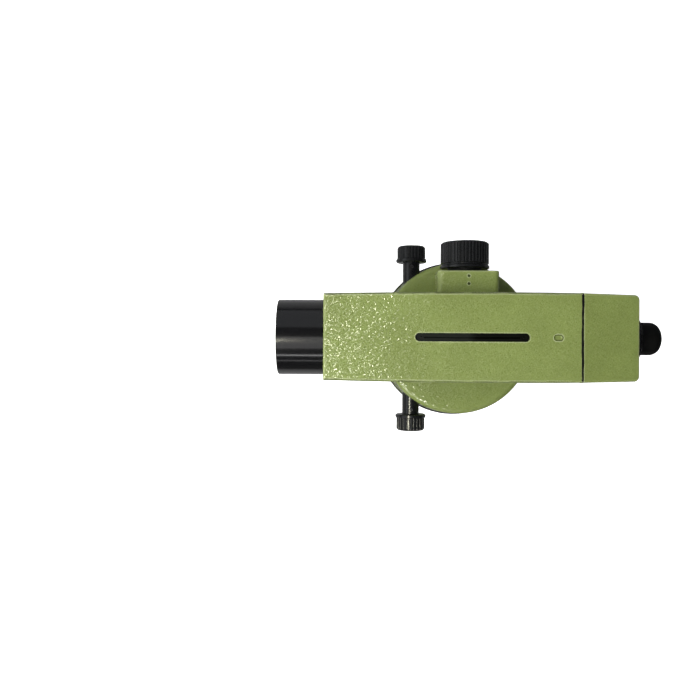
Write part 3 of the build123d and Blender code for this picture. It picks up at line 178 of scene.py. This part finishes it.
def wrinkle_paint(name, edge_reach=1.3 * mm, sparkle=1.0):
    """Stoved green paint: each wrinkle is a small tilted facet, and rounded edges are painted paler
    as a painted highlight.
    """
    paint = Finish(name, paint_colour, 0.35)
    clouds = paint.noise(0.03, 2.0)
    grain = paint.noise(1.35, 1.0, 0.5)
    fine = paint.noise(3.0, 2.0, 0.6)
    colour = paint.blend(clouds.steps(0.3, 0.7), paint_colour, paint_dark)
    colour = paint.blend(grain.steps(0.5, 0.8) * 0.2, colour, paint_pale)

    plain = paint.node("ShaderNodeNewGeometry", output="Normal")
    # Rounded edges found by the bevel normal are painted paler: a painted highlight where the edges
    # catch the light, broken up by noise.
    rounded = paint.node("ShaderNodeBevel", {"samples": 4}, {"Radius": edge_reach})
    alike = paint.vector("DOT_PRODUCT", rounded, plain, output="Value")
    edge = (1 - alike).steps(0.004, 0.05) * (0.5 + 0.5 * fine.steps(0.35, 0.6))
    paint.feed("Base Color", paint.blend(edge * 0.9, colour, edge_highlight_colour))
    paint.feed("Roughness", 0.1 + 0.14 * fine)

    values = {"Vector": paint.place, "Scale": wrinkles_per_mm / mm}
    facets = paint.node("ShaderNodeTexVoronoi", {}, values, "Color")
    tilt = paint.vector("SUBTRACT", facets, (0.5, 0.5, 0.5))
    facing = paint.vector("MULTIPLY_ADD", tilt, (wrinkle_tilt * sparkle,) * 3, plain)
    paint.feed("Normal", paint.vector("NORMALIZE", facing))
    return paint


green = wrinkle_paint("green_wrinkle_paint")
dress(green, "base_plate")

# Spring plate and its screws: thin spring steel, ground and lightly oiled. It presses the
# ball feet of the foot screws into their sockets in the base plate.
steel = Finish("ground_steel", (0.55, 0.55, 0.56), 0.32, 1.0)
scratches = steel.noise(0.9, 3.0, 0.6, (1.0, 0.12, 1.0))
steel.feed("Base Color", steel.blend(scratches, (0.46, 0.46, 0.47), (0.66, 0.66, 0.66)))
steel.feed("Roughness", 0.22 + 0.25 * scratches)
steel.bump(scratches, 0.02 * mm, 0.4)
dress(steel, "spring_plate", "spring_plate_screws", "foot_ball_front", "foot_balls_rear")

# Foot screws: knobs with ribbed rims, moulded in black plastic on turned steel stems.
# Each stem screws up into a bush of the tribrach.
black = Finish("black_moulding", (0.01, 0.011, 0.011), 0.36, IOR=1.4)
skin = black.noise(1.6, 3.0, 0.6)
black.feed("Base Color", black.blend(skin, (0.005, 0.0055, 0.006), (0.014, 0.0145, 0.015)))
black.feed("Roughness", 0.12 + 0.16 * skin)
black.bump(skin, 0.05 * mm, 0.35)
dress(black, "foot_screw_front", "foot_screw_left", "foot_screw_right")

# Tribrach: a three-armed aluminium casting with the hub of the drive, in the same green
# paint as the base plate. It stands on the three foot screws.
dress(green, "tribrach")

# Bushes, spindle and clutch: the bearings are turned in bronze and pressed in, the spindle
# and its wide-headed screw are ground steel, and a spring washer drags the worm wheel along.
bronze = Finish("turned_bronze", (0.6, 0.43, 0.2), 0.3, 1.0)
turning = bronze.noise(1.5, 3.0, 0.6, (0.3, 0.3, 3.0))
bronze.feed("Base Color", bronze.blend(turning, (0.5, 0.35, 0.15), (0.72, 0.54, 0.28)))
bronze.feed("Roughness", 0.22 + 0.25 * turning)
dress(bronze, "foot_bushes", "worm_wheel", "bearing_sleeve", "worm_bracket")
dress(steel, "spindle", "spindle_screw", "clutch_spring", "wheel_ring")

# Horizontal circle: a ring turned in aluminium and anodised black, with a ribbed foot to
# turn it by hand. It rests on the tribrach, under the skirt of the hood.
anodised = Finish("black_anodising", (0.008, 0.008, 0.009), 0.5, IOR=1.3)
pores = anodised.noise(1.3, 3.0, 0.6)
anodised.feed("Base Color", anodised.blend(pores, (0.005, 0.005, 0.006), (0.011, 0.011, 0.012)))
anodised.feed("Roughness", 0.42 + 0.15 * pores)


def new_piece(name, shape, finish, body, slot, *replaced):
    """Turns a bmesh into a piece of the instrument that moves with a body."""
    mesh = bpy.data.meshes.new(name)
    bmesh.ops.recalc_face_normals(shape, faces=shape.faces)
    shape.to_mesh(mesh)
    shape.free()
    mesh.materials.append(finish.material)
    piece = bpy.data.objects.new(name, mesh)
    bpy.context.scene.collection.objects.link(piece)
    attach(piece, body)
    if replaced:
        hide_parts(*replaced)
    return piece


def loop_surface(shape, rings, closed_path=True):
    """Skins a surface over rings of points, each with the same number of points."""
    rows = [[shape.verts.new(point) for point in ring] for ring in rings]
    pairs = list(zip(rows, rows[1:]))
    if closed_path:
        pairs.append((rows[-1], rows[0]))
    for first, second in pairs:
        for i in range(len(first)):
            j = (i + 1) % len(first)
            shape.faces.new((first[i], first[j], second[j], second[i]))
    return rows


def smooth(piece, angle=35.0):
    """Shades a mesh smooth, but keeps edges sharper than an angle."""
    mesh = piece.data
    mesh.shade_smooth()
    mesh.set_sharp_from_angle(angle=math.radians(angle))
    return piece


low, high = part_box("horizontal_circle")
foot = low.z
lid = high.z
seat = 45.06 * mm
rim = high.x - 0.25 * mm
band = rim - 0.15 * mm
undercut = band - 0.35 * mm
lid_edge = rim - 3.0 * mm
grip_top = foot + 2.3 * mm
ribs = 180
steps_per_rib = 8
rib_depth = 0.55 * mm
circle = bmesh.new()
rings = []
for i in range(ribs * steps_per_rib):
    angle = 2 * math.pi * i / (ribs * steps_per_rib)
    groove = 0.5 - 0.5 * math.cos(2 * math.pi * i / steps_per_rib)
    grip = rim - rib_depth * groove**2
    outline = [
        (seat, foot),
        (grip - 0.8 * mm, foot),
        (grip, foot + 0.6 * mm),
        (grip, grip_top - 0.3 * mm),
        (undercut, grip_top),
        (undercut, grip_top + 0.25 * mm),
        (band, grip_top + 0.35 * mm),
        (band, lid - 0.5 * mm),
        (band - 0.4 * mm, lid - 0.2 * mm),
        (lid_edge, lid),
        (seat, lid),
    ]
    rings.append([(r * math.cos(angle), r * math.sin(angle), z) for r, z in outline])
loop_surface(circle, rings)
turned_ring = new_piece(
    "graduated_circle", circle, anodised, "circle", "black_paint", "horizontal_circle"
)
smooth(turned_ring)

# Graduation: a line at each degree and a figure at each ten, printed in white paint on the
# smooth band of the circle.
white = Finish("white_filling", (0.78, 0.78, 0.74), 0.5)
chalk = white.noise(3.0, 2.0)
white.feed("Base Color", white.blend(chalk, (0.68, 0.68, 0.64), (0.82, 0.82, 0.78)))
raised = 0.03 * mm
line_low = grip_top + 0.45 * mm
line_half = 0.09 * mm
degree_line = 0.4 * mm
five_line = 0.6 * mm
ten_line = 0.8 * mm
figure_size = 1.25 * mm
figure_low = line_low + 0.95 * mm
block_faces = ((3, 2, 1, 0), (4, 5, 6, 7), (0, 1, 5, 4), (1, 2, 6, 5), (2, 3, 7, 6), (3, 0, 4, 7))
scale = bmesh.new()
for degree in range(360):
    tall = ten_line if degree % 10 == 0 else five_line if degree % 5 == 0 else degree_line
    line_high = line_low + tall
    turn = Matrix.Rotation(math.radians(degree), 3, "Z")
    line = [
        (-line_half, line_low),
        (line_half, line_low),
        (line_half, line_high),
        (-line_half, line_high),
    ]
    block = [turn @ Vector((r, y, z)) for r in (band - raised, band + raised) for y, z in line]
    corners = [scale.verts.new(point) for point in block]
    for face in block_faces:
        scale.faces.new([corners[i] for i in face])
for tens in range(0, 360, 10):
    curve = bpy.data.curves.new("figure", "FONT")
    curve.body = str(tens)
    curve.size = figure_size
    curve.extrude = raised
    curve.align_x = "CENTER"
    figure = bpy.data.objects.new("figure", curve)
    mesh = bpy.data.meshes.new_from_object(figure)
    turn = Matrix.Rotation(math.radians(tens), 3, "Z")
    for vertex in mesh.vertices:
        x, y, z = vertex.co
        around = x / band
        r = band + z
        vertex.co = turn @ Vector((r * math.cos(around), r * math.sin(around), figure_low + y))
    scale.from_mesh(mesh)
    bpy.data.objects.remove(figure)
    bpy.data.curves.remove(curve)
    bpy.data.meshes.remove(mesh)
new_piece("circle_graduation", scale, white, "circle", "black_paint")

# Drive: a ground steel shaft with its worm, and two moulded knobs. A headless screw of
# blackened steel locks the hub of each knob on the shaft.
dress(steel, "drive_shaft")
oxide = Finish("blackened_steel", (0.05, 0.05, 0.055), 0.3, 1.0)
tarnish = oxide.noise(1.2, 3.0, 0.6)
oxide.feed("Base Color", oxide.blend(tarnish, (0.03, 0.03, 0.033), (0.09, 0.09, 0.095)))
oxide.feed("Roughness", 0.2 + 0.25 * tarnish)
dress(oxide, "drive_grub_screws")
dress(black, "drive_knob_left", "drive_knob_right")

# Hood: the round cover over the drive, cast in aluminium, painted green and screwed under
# the telescope. A small painted triangle on its skirt points at the graduation.
dress(green, "hood")
dress(steel, "hood_screws")
low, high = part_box("hood")
skirt_low = 58.3 * mm
skirt_high = 57.0 * mm
taper = (skirt_low - skirt_high) / (high.z - low.z)
index_angle = math.radians(-78)
index_corners = ((0.0, 0.5 * mm), (0.55 * mm, 3.2 * mm), (-0.55 * mm, 3.2 * mm))
index = bmesh.new()
rows = []
for proud in (-0.1 * mm, 0.04 * mm):
    points = []
    for across, height in index_corners:
        reach = skirt_low - taper * height + proud
        angle = index_angle + across / reach
        points.append((reach * math.cos(angle), reach * math.sin(angle), low.z + height))
    rows.append(points)
rows = loop_surface(index, rows, False)
index.faces.new(rows[0])
index.faces.new(list(reversed(rows[1])))
new_piece("index_mark", index, white, "telescope", "black_paint")

# Telescope housing: one long aluminium casting, painted green. A paint-filled plug hides
# the adjusting screw in its top, and a black strip to sight along lies in a milled channel.
dress(green, "telescope_housing")
low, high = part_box("adjuster_plug")
middle = (low + high) / 2
length = high.x - low.x
width = high.y - low.y
tall = high.z - low.z
run = (length - width) / 2


def oval(size, height, count=48):
    """Points round the plug's outline, shrunk by a size, at a height."""
    radius = width / 2 * size
    points = []
    for i in range(count):
        angle = 2 * math.pi * (i + 0.5) / count
        x = middle.x + math.copysign(run, math.cos(angle)) + radius * math.cos(angle)
        points.append((x, middle.y + radius * math.sin(angle), height))
    return points


plug = bmesh.new()
dished = [
    (0.985, 0.0),
    (0.985, 0.35),
    (0.9, 0.62),
    (0.78, 0.72),
    (0.7, 0.62),
    (0.6, 0.28),
    (0.3, 0.16),
    (0.02, 0.14),
]
rows = loop_surface(plug, [oval(size, low.z + tall * lift) for size, lift in dished], False)
plug.faces.new(list(reversed(rows[0])))
plug.faces.new(rows[-1])
filled = wrinkle_paint("plug_paint", 0.2 * mm, 0.4)
across = filled.axis("Y") - middle.y
along = filled.axis("X") - middle.x
beyond = along.maths("ABSOLUTE", along) - run
reach = (across**2 + beyond.maths("MAXIMUM", beyond, 0.0) ** 2) ** 0.5
# The outer band of the plug is painted a dark green: painted shade where the plug sits down inside
# its recess.
outline = (reach / (width / 2)).steps(0.62, 0.86)
filler = filled.blend(filled.noise(0.8), (0.19, 0.24, 0.065), (0.23, 0.285, 0.08))
filled.feed("Base Color", filled.blend(outline, filler, (0.05, 0.065, 0.018)))
smooth(new_piece("adjuster_cap", plug, filled, "telescope", "green_paint", "adjuster_plug"), 60)

strip = Finish("sighting_black", (0.01, 0.012, 0.008), 0.5, IOR=1.2)
worn = strip.noise(0.9, 3.0, 0.65)
# The front part of the strip is painted lighter than the rear: a painted sheen of reflected light,
# with the rear left near black.
rear = strip.axis("X").steps(-4 * mm, 3 * mm)
front_sheen = strip.blend(worn, (0.008, 0.010, 0.008), (0.014, 0.017, 0.013))
strip.feed("Base Color", strip.blend(rear, front_sheen, (0.001, 0.0015, 0.0005)))
strip.feed("Roughness", 0.42 + 0.15 * worn)
dress(strip, "sight_bar")

# Objective: a turned aluminium barrel in black enamel, screwed into the front of the
# housing, with a coated pair of lenses that a matt ring holds.
enamel = Finish("black_enamel", (0.012, 0.012, 0.013), 0.24)
flow = enamel.noise(0.35, 3.0, 0.55)
orange_peel = enamel.noise(1.1, 2.0, 0.5)
enamel.feed("Base Color", enamel.blend(flow, (0.004, 0.004, 0.0045), (0.008, 0.008, 0.009)))
enamel.feed("Roughness", 0.10 + 0.08 * flow)
enamel.bump(orange_peel, 0.03 * mm, 0.25)
dress(enamel, "objective_tube")
matt = Finish("matt_black", (0.012, 0.014, 0.011), 0.55)
dust = matt.noise(1.4, 3.0, 0.65)
matt.feed("Base Color", matt.blend(dust, (0.004, 0.005, 0.004), (0.011, 0.012, 0.010)))
matt.feed("Roughness", 0.45 + 0.2 * dust)
matt.bump(dust, 0.05 * mm, 0.3)
dress(matt, "objective_ring")
glass = Finish("coated_glass", (0.9, 0.95, 0.97), 0.03, Transmission_Weight=1.0, IOR=1.52)
film = glass.noise(0.03, 2.0)
glass.feed("Base Color", glass.blend(film, (0.86, 0.93, 0.97), (0.93, 0.9, 0.97)))
glass.feed("Roughness", 0.02 + 0.02 * film)
dress(glass, "objective_lens")

# Focusing: a bronze cell with its lens slides in a blackened tube. A steel pinion moves it
# by its rack, and the big moulded knob turns the pinion through a bush in the housing.
dress(bronze, "focus_cell", "focus_rack")
dress(glass, "focusing_lens")
dress(matt, "guide_tube", "focus_bush")
dress(steel, "focus_pinion")
overspray = wrinkle_paint("overspray", 0.1 * mm, 0.6)
speckled = overspray.blend(overspray.noise(1.5), (0.03, 0.04, 0.012), (0.06, 0.075, 0.022))
overspray.feed("Base Color", speckled)
dress(overspray, "focus_bush_screws")
dress(black, "focus_knob", "focus_knob_screw")

# Compensator: a blackened frame with two fixed prisms. A bronze pendulum carries a third
# prism on four steel wires, and its disc moves in a damper cylinder.
dress(matt, "compensator_frame")
dress(glass, "fixed_prisms", "pendulum_prism")
dress(bronze, "pendulum", "damper_cylinder")
dress(steel, "suspension_wires")

# Rear cover: a second green casting, held by four countersunk screws of nickelled steel.
# Their slots stand as the last turn of the screwdriver left them.
dress(green, "rear_cover")
low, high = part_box("rear_cover_screws")
head = (high.x - low.x) / 2
neck = 1.3 * mm
slot_half = 0.3 * mm
slot_floor = 0.55 * mm
arc_steps = 16


def slotted_head(shape, x, y, z, side, turn):
    """A countersunk head that faces out along Y, with a slot turned by an angle."""

    def at(radius, angle, depth):
        out = (radius * math.cos(turn + angle), radius * math.sin(turn + angle))
        return shape.verts.new((x + out[0], y - side * depth, z + out[1]))

    edge = math.asin(slot_half / head)
    sweep = math.pi - 2 * edge
    rims, feet, floor = [], [], []
    for start in (edge, math.pi + edge):
        angles = [start + sweep * i / arc_steps for i in range(arc_steps + 1)]
        rims.append([at(head, angle, 0) for angle in angles])
        feet.append([at(neck, angle, head - neck) for angle in angles])
        ends = (angles[0], angles[-1])
        floor.append([at(head - slot_floor, angle, slot_floor) for angle in ends])
    for rim, foot, (first, last) in zip(rims, feet, floor):
        shape.faces.new(rim)
        shape.faces.new([rim[0], first, last, rim[-1]])
        shape.faces.new([rim[0], rim[1], foot[1], foot[0], first])
        shape.faces.new([rim[-2], rim[-1], last, foot[-1], foot[-2]])
        for i in range(1, arc_steps - 1):
            shape.faces.new([rim[i], rim[i + 1], foot[i + 1], foot[i]])
    shape.faces.new(floor[0] + floor[1])
    shape.faces.new([floor[0][1], floor[1][0], feet[1][0], feet[0][-1]])
    shape.faces.new([floor[1][1], floor[0][0], feet[0][0], feet[1][-1]])
    shape.faces.new(feet[0] + feet[1])


screws = bmesh.new()
turns = iter((0.5, 2.2, 1.3, 2.9))
for side, y in ((-1, low.y), (1, high.y)):
    for z in (low.z + head, high.z - head):
        slotted_head(screws, (low.x + high.x) / 2, y, z, side, next(turns))
nickel = Finish("nickelled_steel", (0.6, 0.59, 0.56), 0.25, 1.0)
polish = nickel.noise(1.5, 3.0, 0.6)
nickel.feed("Base Color", nickel.blend(polish, (0.5, 0.49, 0.46), (0.68, 0.67, 0.64)))
nickel.feed("Roughness", 0.36 + 0.15 * polish)
new_piece("cover_screw_heads", screws, nickel, "telescope", "steel", "rear_cover_screws")

# Seal: a cord of black rubber between the housing and the rear cover. The screws squeeze it
# out of the joint in a lip that is a little wavy.
rubber = Finish("black_rubber", (0.005, 0.005, 0.005), 0.6, IOR=1.2)
bloom = rubber.noise(0.8, 3.0, 0.6)
rubber.feed("Base Color", rubber.blend(bloom, (0.0015, 0.0015, 0.0015), (0.004, 0.004, 0.004)))
rubber.feed("Roughness", 0.5 + 0.2 * bloom)
rubber.bump(bloom, 0.05 * mm, 0.25)
low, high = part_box("cover_gasket")
x_middle = (low.x + high.x) / 2
half_gap = (high.x - low.x) / 2
proud = 0.62 * mm
corner = 2.2 * mm
corner_steps = 8
spacing = 1.2 * mm
y_half = high.y + proud
z_low = low.z - proud + 0.2 * mm
z_high = high.z + proud
path = []
for side, z, inward, start in (
    (1, z_high, -1, 0.0),
    (-1, z_high, -1, 90.0),
    (-1, z_low, 1, 180.0),
    (1, z_low, 1, 270.0),
):
    centre = Vector((side * (y_half - corner), z + inward * corner))
    for i in range(corner_steps + 1):
        angle = math.radians(start + 90 * i / corner_steps)
        path.append(centre + corner * Vector((math.cos(angle), math.sin(angle))))
dense = []
for here, there in zip(path, path[1:] + path[:1]):
    count = max(1, int((there - here).length / spacing))
    dense += [here.lerp(there, i / count) for i in range(count)]
sunk = 0.75 * mm
neck_lift = 0.15 * mm
lip_lift = 0.06 * mm
lip_back = 0.09 * mm
lip_top = 0.15 * mm
rings = []
for i, here in enumerate(dense):
    direction = (dense[(i + 1) % len(dense)] - dense[i - 1]).normalized()
    out = Vector((direction.y, -direction.x))
    wave = 0.22 * math.sin(0.21 * i) + 0.1 * math.sin(1.13 * i + 1.0)
    wave += 0.06 * math.sin(2.9 * i + 2.0)
    drift = (0.12 * math.sin(0.17 * i) + 0.06 * math.sin(0.61 * i) - 0.4) * mm
    lip = half_gap * (2.0 + wave)
    profile = [
        (-0.6 * half_gap, -sunk),
        (-0.62 * half_gap, -neck_lift),
        (drift - lip, -lip_lift),
        (drift - 0.8 * lip, lip_back),
        (drift, lip_top * (1 + wave)),
        (drift + 0.8 * lip, lip_back),
        (drift + lip, -lip_lift),
        (0.62 * half_gap, -neck_lift),
        (0.6 * half_gap, -sunk),
    ]
    rings.append([(x_middle + x, *(here + out * lift)) for x, lift in profile])
seal = bmesh.new()
loop_surface(seal, rings)
smooth(new_piece("cover_seal", seal, rubber, "telescope", "rubber", "cover_gasket"), 60)

# Eyepiece: an enamelled mount on the rear cover, with the reticle in a matt cell between
# four steel screws. The barrel, its ribbed ring and its rubber cup screw in and out of it.
dress(enamel, "eyepiece_mount")
dress(matt, "reticle_cell")
dress(glass, "reticle", "eyepiece_lenses")
dress(steel, "reticle_screws")
dress(bronze, "eyepiece_barrel")
dress(black, "dioptre_ring")
dress(rubber, "eyecup")

# Circular bubble: a vial of pale spirit in a bronze cup, low in the side of the housing. Its
# bubble swims under a ring mark, and a prism shows it in an enamelled window frame.
dress(bronze, "bubble_cup")
dress(glass, "bubble_prism")
dress(enamel, "bubble_bezel")
low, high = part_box("bubble_vial")
spirit_x = (low.x + high.x) / 2
spirit_y = (low.y + high.y) / 2
bore = (high.x - low.x) / 2
surface = high.z
tip = 0.02 * mm


def turned(profile, count=48):
    """Turns a profile of radii and heights about the upright axis of the vial."""
    shape = bmesh.new()
    rings = []
    for i in range(count):
        angle = 2 * math.pi * i / count
        c, d = math.cos(angle), math.sin(angle)
        rings.append([(spirit_x + r * c, spirit_y + r * d, z) for r, z in profile])
    loop_surface(shape, rings)
    return shape


# The spirit is given a faint emission: a painted glow, as if it were lit from within.
spirit = Finish(
    "glowing_pale_spirit",
    (0.75, 0.85, 0.25),
    0.12,
    Emission_Color=(0.62, 0.75, 0.22, 1.0),
    Emission_Strength=0.35,
)
tint = spirit.noise(0.3, 2.0)
spirit.feed("Base Color", spirit.blend(tint, (0.66, 0.78, 0.2), (0.8, 0.88, 0.32)))
vial = turned(
    [
        (tip, low.z),
        (bore, low.z),
        (bore, surface - 0.5 * mm),
        (bore - 0.6 * mm, surface - 0.2 * mm),
        (tip, surface - 0.1 * mm),
    ]
)
smooth(new_piece("spirit_vial", vial, spirit, "telescope", "glass", "bubble_vial"))
mark_in = 2.6 * mm
mark_out = mark_in + 0.35 * mm
mark_low = surface - 0.3 * mm
mark_high = surface - 0.05 * mm
mark_profile = [
    (mark_in, mark_low),
    (mark_out, mark_low),
    (mark_out, mark_high),
    (mark_in, mark_high),
]
new_piece("ring_mark", turned(mark_profile), matt, "telescope", "glass")
# The bubble is given an emission: a painted glow that stands in for the light caught in it.
air = Finish(
    "glowing_air_bubble",
    (0.92, 0.95, 0.8),
    0.1,
    Emission_Color=(0.9, 0.95, 0.7, 1.0),
    Emission_Strength=0.5,
)
gleam = air.noise(0.6, 2.0)
air.feed("Base Color", air.blend(gleam, (0.88, 0.92, 0.75), (0.96, 0.98, 0.86)))
swim = 2.0 * mm
bubble = turned(
    [
        (tip, mark_low),
        (swim, mark_low),
        (swim - 0.1 * mm, mark_high),
        (swim * 0.6, surface),
        (tip, surface),
    ]
)
smooth(new_piece("spirit_bubble", bubble, air, "telescope", "glass"))

# Table: a wide white laminate top. It shows as white as the photograph's, throws only a
# little light up at the instrument, and less from behind it.
table_half = 1.6
flat = bmesh.new()
corners = [(-1, -1), (1, -1), (1, 1), (-1, 1)]
flat.faces.new([flat.verts.new((x * table_half, y * table_half, 0.0)) for x, y in corners])
mesh = bpy.data.meshes.new("table_top")
flat.to_mesh(mesh)
flat.free()
table = bpy.data.objects.new("table_top", mesh)
bpy.context.scene.collection.objects.link(table)
laminate = Finish("white_laminate", (0.9, 0.9, 0.9), 0.6, Emission_Strength=1.0)
speckle = laminate.noise(0.3, 3.0)
laminate.feed("Base Color", laminate.blend(speckle, (0.89, 0.89, 0.885), (0.91, 0.91, 0.91)))
laminate.feed("Emission Color", (1.0, 1.0, 1.0))
far_side = (-1 * laminate.axis("Y")).steps(0.2, 0.28)
tone = laminate.blend(far_side, (0.42, 0.42, 0.42), (0.06, 0.06, 0.06))
bounce = laminate.node("ShaderNodeBsdfDiffuse", {}, {"Color": tone})
seen = laminate.node("ShaderNodeLightPath", output="Is Camera Ray")
top = Field(laminate, laminate.shader.outputs[0])
shown = laminate.node("ShaderNodeMixShader", {}, {0: seen, 1: bounce, 2: top})
laminate.join(laminate.tree.nodes["Material Output"].inputs["Surface"], shown)
mesh.materials.append(laminate.material)

# Light: a broad soft key, two narrow strips that draw the bright lines on the barrel, and a
# cool fill from the knob side. Lamps seen only in reflections light the rims and make the
# wrinkle paint glint near the objective.
aim = Vector((-0.02, 0.0, 0.1))


def soft_light(
    name, direction, distance, size, radiance, colour=(1, 1, 1), glossy=True, diffuse=True
):
    """A rectangular lamp that faces the instrument; size is its width and height."""
    data = bpy.data.lights.new(name, "AREA")
    data.shape = "RECTANGLE"
    data.size, data.size_y = size
    data.energy = radiance * math.pi * size[0] * size[1]
    data.color = colour
    lamp = bpy.data.objects.new(name, data)
    way = Vector(direction).normalized()
    lamp.location = aim + distance * way
    along = (Vector((1, 0, 0)) - way * way.x).normalized()
    lamp.rotation_euler = Matrix((along, way.cross(along), way)).transposed().to_euler()
    lamp.visible_camera = False
    lamp.visible_glossy = glossy
    lamp.visible_diffuse = diffuse
    bpy.context.scene.collection.objects.link(lamp)
    return lamp


def toward(x_degrees, y_degrees):
    """A direction that leans from the vertical by these angles along X and Y."""
    return (math.tan(math.radians(x_degrees)), math.tan(math.radians(y_degrees)), 1.0)


cool = (0.92, 0.96, 1.0)
pale_blue = (0.95, 0.98, 1.0)
warm = (1.0, 0.98, 0.85)
lamplight = (1.0, 0.97, 0.76)
soft_light("key", toward(-12, -18), 1.5, (1.0, 0.95), 1.15)
soft_light("strip", toward(-4, -57.5), 1.5, (1.6, 0.1), 6.0)
soft_light("low_strip", toward(-4, -77), 1.5, (1.6, 0.05), 3.0)
soft_light("fill", toward(0, 58), 1.5, (1.6, 1.7), 0.45, cool)
soft_light("rim_light", toward(-32, -36), 1.3, (0.35, 0.35), 34.0, warm, diffuse=False)
soft_light("side_glow", toward(-62, 22), 1.3, (0.8, 1.2), 1.1, pale_blue, diffuse=False)
soft_light("ceiling", toward(-42, -9), 1.1, (1.0, 1.0), 5.5, glossy=False)
straight_down = toward(0, 0)
glint = soft_light("sparkle_lamp", straight_down, 0.6, (0.08, 0.08), 95.0, lamplight, diffuse=False)
glint.location = (-0.262, -0.12, 0.734)

room_glow = 0.05
world = bpy.data.worlds.new("room")
bpy.context.scene.world = world
world.use_nodes = True
room = world.node_tree
background = room.nodes["Background"]
background.inputs["Color"].default_value = (1.0, 1.0, 1.0, 1.0)
ray = room.nodes.new("ShaderNodeLightPath")
level = room.nodes.new("ShaderNodeMapRange")
level.inputs["To Min"].default_value = room_glow
level.inputs["To Max"].default_value = 1.0
room.links.new(ray.outputs["Is Camera Ray"], level.inputs["Value"])
room.links.new(level.outputs["Result"], background.inputs["Strength"])

# Camera: straight above the table, over the front half of the instrument and turned a
# third of a degree, as in the photograph.
camera_data = bpy.data.cameras.new("camera")
camera_data.lens = 37.67
camera_data.sensor_width = 36.0
camera = bpy.data.objects.new("camera", camera_data)
camera.location = (-0.0848, -0.0055, 0.610)
camera.rotation_euler = (0.0, 0.0, math.radians(0.33))
bpy.context.scene.collection.objects.link(camera)
bpy.context.scene.camera = camera
bpy.context.scene.view_settings.view_transform = "Standard"
